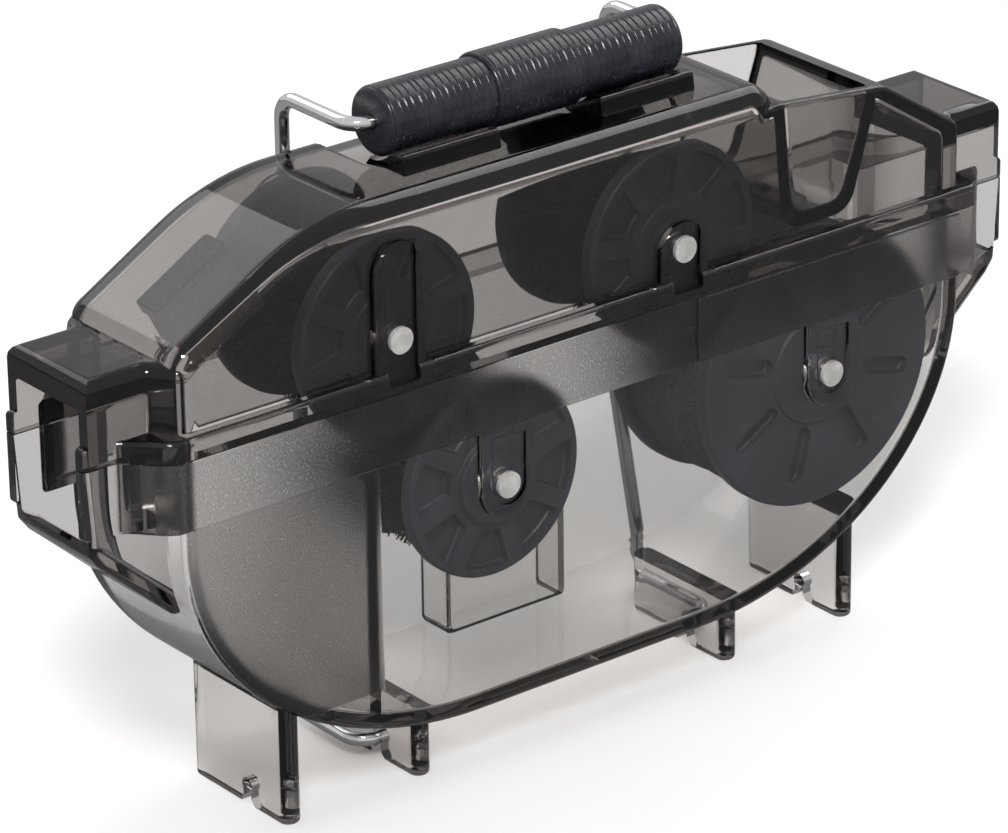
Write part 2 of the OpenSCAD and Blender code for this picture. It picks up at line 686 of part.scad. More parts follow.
module fixed_brush_bristles() {
    pitch_x = fixed_brush_length / fixed_rows;
    pitch_y = 2 * fixed_brush_half / fixed_columns;
    xs = 2 * fixed_rows + 2;
    ys = 2 * fixed_columns + 2;
    function line(i, n, pitch, total) = i == 0 ? 0 : i == n - 1 ? total
        : pitch * (floor((i - 1) / 2) + 0.5) + (i % 2 == 1 ? -1 : 1) * strand_side / 2;
    function gx(i) = line(i, xs, pitch_x, fixed_brush_length);
    function gy(j) = line(j, ys, pitch_y, 2 * fixed_brush_half);
    top = [for (i = [0:xs - 1]) for (j = [0:ys - 1]) [gx(i), gy(j), 0]];
    base = [for (i = [0:xs - 1]) for (j = [0:ys - 1]) [gx(i), gy(j), -fixed_slice]];
    tips = [for (i = [0:xs - 1]) for (j = [0:ys - 1])
        [gx(i), gy(j), -fixed_slice - fixed_bristle_length]];
    count = xs * ys;
    function a(i, j) = i * ys + j;
    function b(i, j) = count + a(i, j);
    function c(i, j) = 2 * count + a(i, j);
    roofs = [for (i = [0:xs - 2]) for (j = [0:ys - 2])
        each [[a(i, j), a(i, j + 1), a(i + 1, j + 1)], [a(i, j), a(i + 1, j + 1), a(i + 1, j)]]];
    floors = [for (i = [0:xs - 2]) for (j = [0:ys - 2]) if (i % 2 == 0 || j % 2 == 0)
        each [[b(i, j), b(i + 1, j + 1), b(i, j + 1)], [b(i, j), b(i + 1, j), b(i + 1, j + 1)]]];
    sides = concat(
        [for (j = [0:ys - 2]) each [[a(0, j), b(0, j), b(0, j + 1)], [a(0, j), b(0, j + 1), a(0, j + 1)],
            [a(xs - 1, j), b(xs - 1, j + 1), b(xs - 1, j)], [a(xs - 1, j), a(xs - 1, j + 1), b(xs - 1, j + 1)]]],
        [for (i = [0:xs - 2]) each [[a(i, 0), b(i + 1, 0), b(i, 0)], [a(i, 0), a(i + 1, 0), b(i + 1, 0)],
            [a(i, ys - 1), b(i, ys - 1), b(i + 1, ys - 1)],
            [a(i, ys - 1), b(i + 1, ys - 1), a(i + 1, ys - 1)]]]);
    strands = [for (i = [1:2:xs - 3]) for (j = [1:2:ys - 3])
        each [[b(i, j), c(i, j), c(i, j + 1)], [b(i, j), c(i, j + 1), b(i, j + 1)],
              [b(i + 1, j), c(i + 1, j + 1), c(i + 1, j)], [b(i + 1, j), b(i + 1, j + 1), c(i + 1, j + 1)],
              [b(i, j), c(i + 1, j), c(i, j)], [b(i, j), b(i + 1, j), c(i + 1, j)],
              [b(i, j + 1), c(i, j + 1), c(i + 1, j + 1)], [b(i, j + 1), c(i + 1, j + 1), b(i + 1, j + 1)],
              [c(i, j), c(i + 1, j), c(i + 1, j + 1)], [c(i, j), c(i + 1, j + 1), c(i, j + 1)]]];
    color(bristle_brown) placed() under_slope()
        translate([-fixed_brush_length - fixed_back_top_gap, fixed_brush_shift - fixed_brush_half,
            -fixed_back_thick])
            polyhedron(points = concat(top, base, tips), faces = concat(roofs, floors, sides, strands));
}

// Bail: one wire from foot to foot, up behind the case and through the grip.
arm_gap = 0.35;
arm_y = belt_half + wire_d / 2 + arm_gap;
tip_start = 0.6;
arm_foot_gap = 2.5;
arm_foot_x = inner_foot_x + foot_thick / 2 + wire_d / 2 + arm_foot_gap;
splay_height = 45;
pin_shift = 0.9;
bend_r = 4;
bend_steps = 5;
ring_sides = 12;
facet_share = 0.985;
grip_end = grip_length / 2;
function bail_corners(side) = [
    [side * (inner_foot_x + foot_thick / 2 + tip_start), -hinge_forward, hinge_height],
    [side * arm_foot_x, -hinge_forward, hinge_height],
    [side * arm_foot_x, arm_y, hinge_height],
    [side * arm_x - grip_shift, arm_y, splay_height],
    [side * arm_x - grip_shift, arm_y, grip_z],
    [side * arm_x - grip_shift, 0, grip_z]];
wire_corners = concat(bail_corners(-1), reversed(bail_corners(1)));
function unit(v) = v / norm(v);
function rounded(p, i) = let (
        before = unit(p[i - 1] - p[i]), after = unit(p[i + 1] - p[i]),
        half = acos(before * after) / 2,
        reach = min(bend_r / tan(half), wire_bend_limit),
        radius = reach * tan(half),
        middle = p[i] + unit(before + after) * radius / sin(half),
        from = p[i] + before * reach - middle, to = p[i] + after * reach - middle,
        sweep = 180 - 2 * half)
    [for (k = [0:bend_steps]) let (a = sweep * k / bend_steps)
        middle + (from * sin(sweep - a) + to * sin(a)) / sin(sweep)];
wire_bend_limit = 6;
wire_path = concat([wire_corners[0]],
    [for (i = [1:len(wire_corners) - 2]) each rounded(wire_corners, i)],
    [wire_corners[len(wire_corners) - 1]]);
// Carries a ring's upward direction along the path without twisting it.
function tangent(i) = unit(wire_path[min(i + 1, len(wire_path) - 1)] - wire_path[max(i - 1, 0)]);
function flat(v, t) = unit(v - t * (v * t));
function ring_axes(i, last) = i == len(wire_path) ? []
    : let (axis = flat(last, tangent(i))) concat([axis], ring_axes(i + 1, axis));
module wire_body() {
    axes = ring_axes(0, [0, 0, 1]);
    r = wire_d / 2 * facet_share;
    count = len(wire_path);
    points = [for (i = [0:count - 1]) for (k = [0:ring_sides - 1])
        let (u = axes[i], v = cross(tangent(i), u), a = 360 * k / ring_sides)
        wire_path[i] + r * (cos(a) * u + sin(a) * v)];
    function p(i, k) = i * ring_sides + k % ring_sides;
    faces = [for (i = [0:count - 2]) for (k = [0:ring_sides - 1])
        each [[p(i, k), p(i + 1, k), p(i + 1, k + 1)], [p(i, k), p(i + 1, k + 1), p(i, k + 1)]]];
    caps = [[for (k = [0:ring_sides - 1]) p(0, k)],
        [for (k = [ring_sides - 1:-1:0]) p(count - 1, k)]];
    polyhedron(points = points, faces = concat(faces, caps));
}
module bail_wire() {
    color(chrome) placed() {
        wire_body();
        for (side = [-1, 1])
            translate([side * (inner_foot_x + pin_shift), -hinge_forward, hinge_height])
                rotate([0, 90, 0]) cylinder(d = wire_d, h = foot_thick, center = true);
    }
}

// Grip: three ringed sleeves on the wire.
sleeve_play = 0.1;
middle_sleeve = 19;
outer_sleeve = (grip_length - middle_sleeve) / 2;
groove_pitch = 2.2;
groove_depth = 0.35;
groove_width = 0.5;
grip_round = 2;
round_share = 0.3;
module sleeve(from, length, d, round_left, round_right) {
    grooves = floor((length - 2 * grip_round) / groove_pitch);
    start = (length - (grooves - 1) * groove_pitch) / 2;
    translate([-grip_shift + from, 0, grip_z]) rotate([0, 90, 0]) rotate_extrude() difference() {
        polygon(concat([[wire_d / 2 + sleeve_play, 0]],
            round_left ? [[d / 2 - grip_round, 0], [d / 2 - grip_round * round_share, grip_round * round_share],
                [d / 2, grip_round]] : [[d / 2, 0]],
            round_right ? [[d / 2, length - grip_round],
                [d / 2 - grip_round * round_share, length - grip_round * round_share],
                [d / 2 - grip_round, length]] : [[d / 2, length]],
            [[wire_d / 2 + sleeve_play, length]]));
        for (i = [0:grooves - 1])
            translate([d / 2 - groove_depth, start + i * groove_pitch - groove_width / 2])
                square([2 * groove_depth, groove_width]);
    }
}
module grip_left() {
    color(black_rubber) placed() sleeve(-grip_end, outer_sleeve, grip_d, true, false);
}
module grip_middle() {
    color(black_rubber) placed() sleeve(-grip_end + outer_sleeve, middle_sleeve, grip_middle_d, true, true);
}
module grip_right() {
    color(black_rubber) placed() sleeve(grip_end - outer_sleeve, outer_sleeve, grip_d, false, true);
}

// The wire stands out behind the case, so the whole is moved forward until its
// box is centred on the origin.
y_shift = (belt_half + label_proud - arm_y - wire_d / 2) / 2;
module placed() {
    translate([0, y_shift, 0]) children();
}

lower_shell();
lid();
axle_upper_left();
axle_upper_middle();
axle_lower_left();
axle_lower_right();
brush_wheel_left_front_disc();
brush_wheel_left_rear_disc();
brush_wheel_left_bristles();
brush_wheel_middle_front_disc();
brush_wheel_middle_rear_disc();
brush_wheel_middle_bristles();
brush_wheel_lower_front_disc();
brush_wheel_lower_rear_disc();
brush_wheel_lower_bristles();
sponge_wheel_front_disc();
sponge_wheel_rear_disc();
sponge_ring();
fixed_brush_back();
fixed_brush_bristles();
bail_wire();
grip_left();
grip_middle();
grip_right();
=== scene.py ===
"""Bike chain cleaner: a smoky clear tub and lid round brush wheels and a sponge wheel."""
import bmesh
import bpy
import math
import numpy as np
from mathutils import Matrix, Vector


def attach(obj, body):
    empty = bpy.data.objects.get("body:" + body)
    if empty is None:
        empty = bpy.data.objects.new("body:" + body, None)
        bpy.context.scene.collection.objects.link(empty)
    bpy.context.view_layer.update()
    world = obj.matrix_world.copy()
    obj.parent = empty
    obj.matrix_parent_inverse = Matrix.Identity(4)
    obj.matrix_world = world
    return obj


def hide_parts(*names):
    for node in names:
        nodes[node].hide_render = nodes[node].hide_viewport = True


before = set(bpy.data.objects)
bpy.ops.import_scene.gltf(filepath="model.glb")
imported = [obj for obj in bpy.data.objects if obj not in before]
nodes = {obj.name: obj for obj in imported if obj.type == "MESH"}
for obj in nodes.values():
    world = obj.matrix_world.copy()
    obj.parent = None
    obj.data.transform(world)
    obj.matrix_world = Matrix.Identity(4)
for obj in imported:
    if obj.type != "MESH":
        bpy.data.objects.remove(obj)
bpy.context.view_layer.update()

MM = 0.001
MIDDLE_Y = -1.275                  # the case's middle plane; all lengths here are in millimetres
SEAM = 76.6                        # height of the seam between tub and lid
WALL, ROOF_WALL = 2.4, 4
TUB_HALF, TUB_ROOM = 17.6, 15.2    # half depths, outside and inside
LID_HALF, LID_ROOM = 16.4, 14.2
PORT_HALF, PORT_ROOM = 11.4, 9
BELT_HALF, BELT_END = 18.6, 87.5   # half depth and half length of the belt round the seam
CASE_HALF = 86.5                   # half length of the case
PORT_END, PORT_BACK = 102.0, 80.7  # a port reaches from here to here
ROOF = 110.4
PIN_R, PIN_GAP = 2.4, 0.04
UPPER_Z, LOWER_Z = 85.7, 52.9
WHEELS = {"left": (-41.5, UPPER_Z), "middle": (20.8, UPPER_Z), "lower": (-19.4, LOWER_Z)}
SPONGE = (54.8, LOWER_Z)
INNER_FOOT, OUTER_FOOT, FOOT_R = 35.2, 63.4, 2
HINGE_Y, HINGE_Z, WIRE_R = -2.5, 3.9, 1.3
GRIP_Z, GRIP_SHIFT = 117.6, 1.5
SIDES = (-1, 1)
OVER = 3                           # how far a tool runs past what it joins or cuts
BEYOND_X, BEYOND_Y = 110, 30       # half sizes of a box round the whole case
THROUGH = 21                       # half length of a bore through the case


# Camera
def place_camera():
    """The camera looks from the front left, 24 degrees down, with the photograph's long lens."""
    az, el, roll = (math.radians(v) for v in (-38.332, 23.901, -0.739))
    focal, frame_width, sensor = 5613.6, 1008, 36
    back = np.array([math.sin(az) * math.cos(el), -math.cos(az) * math.cos(el), math.sin(el)])
    side = np.array([math.cos(az), math.sin(az), 0.0])
    up = np.cross(back, side)
    side, up = (math.cos(roll) * side + math.sin(roll) * up,
                math.cos(roll) * up - math.sin(roll) * side)
    data = bpy.data.cameras.new("photo_camera")
    data.lens, data.sensor_width = focal / frame_width * sensor, sensor
    data.clip_start, data.clip_end = 0.05, 20
    camera = bpy.data.objects.new("photo_camera", data)
    bpy.context.scene.collection.objects.link(camera)
    camera.rotation_mode = "QUATERNION"
    turn = Matrix([[side[i], up[i], back[i]] for i in range(3)])
    camera.rotation_quaternion = turn.to_quaternion()
    camera.location = (-0.56364, -0.70551 + MIDDLE_Y * MM, 0.45417)
    bpy.context.scene.camera = camera


# Outlines
def rounded(points, radius, steps=5):
    """A closed outline with each corner replaced by an arc that touches both of its sides.

    The arc's reach along a side is radius / tan(half the corner's angle), at most 0.48 of the
    side. Its points are the centre plus the two end spokes blended by sines.
    """
    p = np.asarray(points, float)
    r = np.broadcast_to(np.asarray(radius, float), len(p))
    before, after = np.roll(p, 1, 0) - p, np.roll(p, -1, 0) - p
    lb, la = np.linalg.norm(before, axis=1), np.linalg.norm(after, axis=1)
    before, after = before / lb[:, None], after / la[:, None]
    half = np.arccos(np.clip((before * after).sum(1), -0.99999, 0.99999)) / 2
    reach = np.minimum(np.minimum(r / np.tan(half), 0.48 * lb), 0.48 * la)
    true_r = reach * np.tan(half)
    inwards = before + after
    inwards /= np.maximum(np.linalg.norm(inwards, axis=1), 1e-9)[:, None]
    centre = p + inwards * (true_r / np.sin(half))[:, None]
    first, last = p + before * reach[:, None] - centre, p + after * reach[:, None] - centre
    sweep = np.maximum(math.pi - 2 * half, 1e-4)[:, None]
    a = sweep * np.linspace(0, 1, steps + 1)[None, :]
    arc = (centre[:, None] + (first[:, None] * np.sin(sweep - a)[..., None]
                              + last[:, None] * np.sin(a)[..., None]) / np.sin(sweep)[..., None])
    sharp = true_r < 1e-3
    arc[sharp] = p[sharp][:, None]
    out = arc.reshape(-1, 2)
    return out[np.linalg.norm(out - np.roll(out, 1, 0), axis=1) > 1e-3]


def inset(outline, t):
    """The outline moved inwards by t: each point goes along its mitre, t / (1 + n1.n2)."""
    side = np.roll(outline, -1, 0) - outline
    side /= np.linalg.norm(side, axis=1)[:, None]
    x, z = outline.T
    area = (x * np.roll(z, -1) - np.roll(x, -1) * z).sum()
    inward = np.stack([-side[:, 1], side[:, 0]], 1) * (1 if area > 0 else -1)
    before = np.roll(inward, 1, 0)
    return outline + t * (before + inward) / (1 + (before * inward).sum(1))[:, None]


def mesh_object(name, points, faces):
    """A mesh object from points and faces, its doubles merged and its normals turned outwards."""
    mesh = bpy.data.meshes.new(name)
    mesh.from_pydata(np.asarray(points, float).tolist(), [], faces)
    bm = bmesh.new()
    bm.from_mesh(mesh)
    bmesh.ops.remove_doubles(bm, verts=bm.verts, dist=1e-4)
    bmesh.ops.recalc_face_normals(bm, faces=bm.faces)
    bm.to_mesh(mesh)
    bm.free()
    made = bpy.data.objects.new(name, mesh)
    bpy.context.scene.collection.objects.link(made)
    return made


def plate(outline, low, high, edge=0.0, axis="y", steps=4, low_edge=None):
    """A closed outline carried from low to high along an axis, with round end edges.

    Ring k stands edge * (1 - cos a) in from its end and is drawn in by edge * (1 - sin a),
    for a from 0 to 90 degrees, so each end edge is a quarter circle.
    """
    low_edge = edge if low_edge is None else low_edge
    rings = []
    for end, sign, r in ((low, 1, low_edge), (high, -1, edge)):
        a = np.linspace(0, math.pi / 2, steps + 1) if r > 0 else np.array([math.pi / 2])
        part = [(end + sign * r * (1 - math.cos(v)), r * (1 - math.sin(v))) for v in a]
        rings += part if sign > 0 else part[::-1]
    n = len(outline)
    points = []
    for depth, t in rings:
        ring = inset(outline, t) if t > 0 else outline
        d = np.full(n, depth)
        u, v = ring[:, 0], ring[:, 1]
        points.append(np.stack({"x": (d, u + MIDDLE_Y, v), "y": (u, d + MIDDLE_Y, v),
                                "z": (u, v + MIDDLE_Y, d)}[axis], 1))
    k, c = np.meshgrid(np.arange(len(rings) - 1), np.arange(n), indexing="ij")
    step = (c + 1) % n
    quads = np.stack([k * n + c, k * n + step, (k + 1) * n + step, (k + 1) * n + c], -1)
    faces = quads.reshape(-1, 4).tolist()
    faces += [list(range(n))[::-1], list(range((len(rings) - 1) * n, len(rings) * n))]
    return mesh_object("plate", np.concatenate(points), faces)


def circle(cx, cy, r, count=48):
    a = np.linspace(0, 2 * math.pi, count, endpoint=False)
    return np.stack([cx + r * np.cos(a), cy + r * np.sin(a)], 1)


def rectangle(x0, x1, y0, y1):
    return np.array([[x0, y0], [x1, y0], [x1, y1], [x0, y1]], float)


def carve(base, steps, name):
    """Adds or cuts each tool from the base in turn, as exact solids, and keeps the result."""
    for operation, tool in steps:
        cut = base.modifiers.new(operation, "BOOLEAN")
        cut.operation, cut.solver, cut.object = operation, "EXACT", tool
    graph = bpy.context.evaluated_depsgraph_get()
    mesh = bpy.data.meshes.new_from_object(base.evaluated_get(graph))
    base.modifiers.clear()
    base.data = mesh
    base.name = mesh.name = name
    for _, tool in steps:
        bpy.data.objects.remove(tool)
    return base


def finish_piece(piece, look, body, stands_for):
    """Brings a piece from millimetres to metres, smooths it and sets its finish and body.

    Edges past 32 degrees stay sharp, and normals are weighted towards the flat faces.
    """
    piece.data.transform(Matrix.Scale(MM, 4))
    bm = bmesh.new()
    bm.from_mesh(piece.data)
    bmesh.ops.remove_doubles(bm, verts=bm.verts, dist=2e-6)
    bmesh.ops.dissolve_degenerate(bm, edges=bm.edges, dist=2e-6)
    limit = math.radians(32)
    for edge in bm.edges:
        edge.smooth = len(edge.link_faces) == 2 and edge.calc_face_angle(0) < limit
    for face in bm.faces:
        face.smooth = True
    bm.to_mesh(piece.data)
    bm.free()
    weighted = piece.modifiers.new("normals", "WEIGHTED_NORMAL")
    weighted.keep_sharp, weighted.weight = True, 80
    dress(piece, look)
    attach(piece, body)
    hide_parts(*stands_for)


UNION, CUT, KEEP = "UNION", "DIFFERENCE", "INTERSECT"


# Tub
def tub_outline(t=0.0, top=SEAM):
    """Belly, two quarter ellipses and upright ends, drawn in by t.

    An ellipse runs from the flat floor's end to the upright end: x = flat + width * sin a,
    z = height - drop * cos a.
    """
    flat, height, floor = 25, 60, 10.8
    a = np.linspace(0, math.pi / 2, 33)
    x = flat + (CASE_HALF - flat - t) * np.sin(a)
    z = height - (height - floor - t) * np.cos(a)
    left = np.stack([-x, z], 1)[::-1]
    right = np.stack([x, z], 1)
    return np.concatenate([[[-CASE_HALF + t, top]], left, right, [[CASE_HALF - t, top]]])


def port_outline(side, t=0.0, top=SEAM):
    """A port's side view below the seam: a lip at the mouth, then a slope down to the tub."""
    lip, slope, low = SEAM - 15.8 + t, SEAM - 18.2 + t, SEAM - 31 + t
    p = np.array([[-PORT_END - t, top], [-PORT_END - t, SEAM], [-PORT_END + 1 - t, lip],
                  [-99.2 + t / 2, slope], [-85 + t / 2, low], [-PORT_BACK, low],
                  [-PORT_BACK, top]])
    p[:, 0] *= -side
    return p


def belt_plan(half, port, end, run=9.8, reach=PORT_END):
    """The plan of the belt: half on the case, port on the ports, joined by soft S curves.

    On a curve the depth is port + (half - port) * (3 s^2 - 2 s^3).
    """
    s = np.linspace(0, 1, 13)
    curve = np.stack([end + run * (1 - s), port + (half - port) * (s * s * (3 - 2 * s))], 1)
    quarter = np.concatenate([[[reach, port]], curve])
    top = np.concatenate([quarter, (quarter * [-1, 1])[::-1]])
    return np.concatenate([top, (top * [1, -1])[::-1]])


def half_circle(x, z, r, first, steps):
    """Half a circle that starts at an angle, as steps + 1 points."""
    a = np.linspace(first, first + math.pi, steps + 1)
    return np.stack([x + r * np.cos(a), z + r * np.sin(a)], 1)


def tongue(x, half):
    """The tongue that carries a lower axle: a strip with a round foot."""
    r, top = 6.2, SEAM - 11
    low = half_circle(x, LOWER_Z, r, math.pi, 24)
    return plate(np.concatenate([low, [[x + r, top], [x - r, top]]]), -half, half, 0.8)


def tongue_slot(x, r=3.6):
    """The shallow slot round a lower axle's end, open upwards to the belt."""
    top = SEAM - 14.5
    low = half_circle(x, LOWER_Z, r, math.pi, 16)
    return np.concatenate([low, [[x + r, top], [x - r, top]]])


def pocket():
    """A thin box that stands on the floor against the rear wall, between the two chambers."""
    outer = rounded(rectangle(-14, 13, 12.6, 33), 1.5, 3)
    inner = rounded(rectangle(-12.8, 11.8, 13.4, 31.8), 1, 3)
    return carve(plate(outer, 7.6, 15.8, 0.6), [(CUT, plate(inner, 8.8, 15.2, 0))], "pocket")


def foot(x, top):
    """A foot plate, half round front and back, drawn in slightly downwards by its round sole."""
    half = 11.7
    plan = np.concatenate([half_circle(x, half, FOOT_R, 0, 12),
                           half_circle(x, -half, FOOT_R, math.pi, 12)])
    return plate(plan, 0, top, 0, "z", low_edge=0.7)


def foot_notch(x):
    """The hinge notch: a round seat with a narrower slot that opens downwards."""
    seat = circle(HINGE_Y, HINGE_Z, 1.45, 32)
    slot = np.array([[-3.6, HINGE_Z], [-1.4, HINGE_Z], [-1.4, 1.6], [0.6, -1], [-5.6, -1],
                     [-3.6, 1.6]])
    return [plate(shape, x - OVER, x + OVER, axis="x") for shape in (seat, slot)]


def axle_bore(x, z):
    return plate(circle(x, z, PIN_R + PIN_GAP), -THROUGH, THROUGH)


def lower_tub():
    """The case with belt, ports, tongues and feet, cut off at the seam and hollowed out."""
    above = SEAM + OVER
    axles = (WHEELS["lower"][0], SPONGE[0])
    feet = ((INNER_FOOT, 24), (OUTER_FOOT, 30))
    belt = belt_plan(BELT_HALF, PORT_HALF - 0.3, BELT_END)
    steps = [(UNION, plate(belt, SEAM - 12.8, above, 0, "z", low_edge=0.8))]
    for side in SIDES:
        port = rounded(port_outline(side, 0, above), [0, 0, 2, 3, 2, 0, 0])
        steps.append((UNION, plate(port, -PORT_HALF, PORT_HALF, 1.2)))
    steps += [(UNION, tongue(x, BELT_HALF)) for x in axles]
    steps += [(UNION, foot(side * x, top)) for x, top in feet for side in SIDES]
    below_seam = rectangle(-BEYOND_X, BEYOND_X, -1, SEAM)
    steps.append((KEEP, plate(below_seam, -BEYOND_Y, BEYOND_Y)))
    raised = rounded(rectangle(22.8, 85.1, SEAM - 12.6, SEAM - 0.4), 0.8, 3)
    steps.append((UNION, plate(raised, -BELT_HALF - 0.4, 0, 0, low_edge=0.3)))
    steps.append((CUT, plate(tub_outline(WALL, SEAM + 2), -TUB_ROOM, TUB_ROOM, 1.2)))
    for side in SIDES:
        port = rounded(port_outline(side, WALL, SEAM + 2), [0, 0, 2, 2, 1, 0, 0])
        steps.append((CUT, plate(port, -PORT_ROOM, PORT_ROOM, 0.8)))
    for x in axles:
        steps.append((CUT, axle_bore(x, LOWER_Z)))
        for side in SIDES:
            steps.append((CUT, plate(tongue_slot(x), *sorted((side * 17.9, side * 19.6)), 0)))
    for x in (-OUTER_FOOT, -INNER_FOOT, INNER_FOOT, OUTER_FOOT):
        steps += [(CUT, tool) for tool in foot_notch(x)]
    joined = 15.8                  # half depth of the baffle, 0.6 mm into each wall
    baffle = rounded(rectangle(-48.8, -46.4, 12, 60.6), 0.5, 3)
    inner = plate(tub_outline(WALL - 0.6), -joined, joined, 1.2)
    baffle = carve(plate(baffle, -joined, joined), [(KEEP, inner)], "baffle")
    steps += [(UNION, baffle), (UNION, pocket())]
    body = plate(tub_outline(0, above), -TUB_HALF, TUB_HALF, 1.8)
    return carve(body, steps, "tub_shell")


# Lid
LID_FOOT = SEAM - 8                # its outlines start here, and the seam cuts them off
SHOULDER = ROOF - 4


def roof_outline(t=0.0):
    """The side view of the roof from the left end to the filler trough, drawn in by t.

    The roof itself is thicker than the walls, so its top comes in by more.
    """
    top = ROOF - t * ROOF_WALL / WALL
    p = np.array([[-CASE_HALF + t, LID_FOOT], [-CASE_HALF + t, 93.7 - t], [-57.5 + t / 2, top],
                  [41 - t / 2, top], [44 - t, SHOULDER - t], [44 - t, LID_FOOT]])
    edge = 4.2 - t * 0.6
    return rounded(p, [0, 4.5, 46, edge, edge, 0], 9)


def trough_end_outline(t=0.0):
    """The side view of the right end, from the roof over the trough's crest, drawn in by t."""
    p = np.array([[38, LID_FOOT], [38, SHOULDER - t], [44, SHOULDER - t], [68.6 - t / 3, 104 - t],
                  [84.6 - t / 2, 93.8 - t], [CASE_HALF - t, 92.4 - t], [CASE_HALF - t, LID_FOOT]])
    return rounded(p, [0, 0, 2, 5, 3, 2, 0])


def trough_outline(t=0.0):
    """The filler trough's slanting sides and rounded floor, grown outwards by t."""
    floor, top = SEAM + 7.4 - t, ROOF + OVER
    return np.array([[45.2 - t, top], [45.2 - t, SEAM + 29.4], [47.4 - t, floor],
                     [59 + t, floor], [65.2 + t, SEAM + 25.4], [67.2 + t, top]])


def arch(x, rise, r=5.5):
    """The boss that carries an upper axle: an upright strip with a round head."""
    head = half_circle(x, SEAM + rise - r, r, 0, 24)
    return np.concatenate([head, [[x - r, SEAM - 2], [x + r, SEAM - 2]]])


def saddle(x):
    """A cradle for the grip: a leaning front ridge and a round seat 0.4 mm under the grip."""
    half = 10.5
    side = np.array([[-9.5, ROOF - 3], [-8.5, ROOF + 3.4], [-6.7, ROOF + 3.4], [0, ROOF + 1.7],
                     [2, ROOF - 0.6], [2, ROOF - 3]])
    body = plate(rounded(side, [0, 0.8, 0.8, 0, 0, 0], 3), x - half, x + half, 0.5, "x")
    seat = plate(circle(0, GRIP_Z, 6.6, 64), x - half - 1.5, x + half + 1.5, axis="x")
    return carve(body, [(CUT, seat)], "saddle")


def swing_ramp():
    """The shallow ramp behind the grip that lets the grip swing back over the roof."""
    front, back, fall, half = -4, 20, 3.2, 33.6
    side = np.array([[front, ROOF], [back, ROOF - fall], [back, ROOF + 1], [front, ROOF + 1]])
    return plate(side, -GRIP_SHIFT - half, -GRIP_SHIFT + half, axis="x")


def upper_lid():
    """The roof with trough end, ports, belt, arches and saddles, cut at the seam and hollowed."""
    foot_z, seam_gap = SEAM - 2, 0.2
    roof = carve(plate(roof_outline(), -LID_HALF, LID_HALF, 4), [(CUT, swing_ramp())], "roof")
    steps = [(UNION, plate(trough_end_outline(), -LID_HALF, LID_HALF, 1))]
    ports = belt_plan(LID_HALF - 0.4, PORT_HALF, 85.2, 4.6, PORT_END - 1)
    steps.append((UNION, plate(ports, foot_z, SEAM + 15.6, 2.4, "z", low_edge=0)))
    belt = belt_plan(BELT_HALF, PORT_HALF - 0.3, BELT_END)
    steps.append((UNION, plate(belt, foot_z, SEAM + 4, 0.9, "z", low_edge=0)))
    arches = ((WHEELS["left"][0], 26.8), (WHEELS["middle"][0], 14))
    for x, rise in arches:
        steps.append((UNION, plate(arch(x, rise), -17.9, 17.9, 0.9)))
        for side in SIDES:
            slot = rounded(arch(x, rise - 2.2, 3.3) + [0, 3.4], 0.4, 1)
            steps.append((CUT, plate(slot, *sorted((side * 17.2, side * 19)), 0)))
    steps += [(UNION, saddle(-GRIP_SHIFT + side * 21.5)) for side in SIDES]
    above_seam = rectangle(-BEYOND_X, BEYOND_X, SEAM + seam_gap, 130)
    steps.append((KEEP, plate(above_seam, -BEYOND_Y, BEYOND_Y)))
    hollow = plate(roof_outline(WALL), -LID_ROOM, LID_ROOM, 1.8)
    cup = rounded(trough_outline(2.2), [0, 0, 5, 5, 0, 0])
    end = plate(trough_end_outline(WALL), -LID_ROOM, LID_ROOM, 1)
    cup = plate(cup, -LID_HALF - 1, LID_HALF + 1)
    hollow = carve(hollow, [(UNION, end), (CUT, cup)], "hollow")
    steps.append((CUT, hollow))
    for side in SIDES:
        x0, x1 = sorted((side * (PORT_END + 1), side * PORT_BACK))
        passage = rounded(rectangle(x0, x1, SEAM - 4, SEAM + 10.2), 1.2, 3)
        steps.append((CUT, plate(passage, -PORT_ROOM, PORT_ROOM, 0.8)))
    trough = rounded(trough_outline(), [0, 0, 4, 4, 0, 0])
    steps.append((CUT, plate(trough, -14.8, 14.8, 1)))
    drain = plate(circle(53.2, 0, 2.5, 32), SEAM, SEAM + 9, axis="z")
    steps.append((CUT, drain))
    steps += [(CUT, axle_bore(x, UPPER_Z)) for x, _ in arches]
    return carve(roof, steps, "lid_shell")


# Wheels, brushes, wire and grip
def revolved(profile, count=96):
    """A closed profile of (radius, depth) points turned round the Y axis, as rings of quads.

    A point is (radius * cos a, depth, radius * sin a).
    """
    profile = np.asarray(profile, float)
    a = np.linspace(0, 2 * math.pi, count, endpoint=False)
    r, d = profile[:, 0][None, :], profile[:, 1][None, :]
    points = np.stack([r * np.cos(a)[:, None], d + 0 * a[:, None], r * np.sin(a)[:, None]], -1)
    n = len(profile)
    i, j = np.meshgrid(np.arange(count), np.arange(n), indexing="ij")
    i1, j1 = (i + 1) % count, (j + 1) % n
    faces = np.stack([i * n + j, i1 * n + j, i1 * n + j1, i * n + j1], -1).reshape(-1, 4)
    return mesh_object("ring", points.reshape(-1, 3), faces.tolist())


DISC_FACE, DISC_BACK = 13.4, 10.6  # a disc's outer and inner face, from the middle plane
BOSS_R = 4.4
SPOKES = 8                         # and as many pockets or slots between them


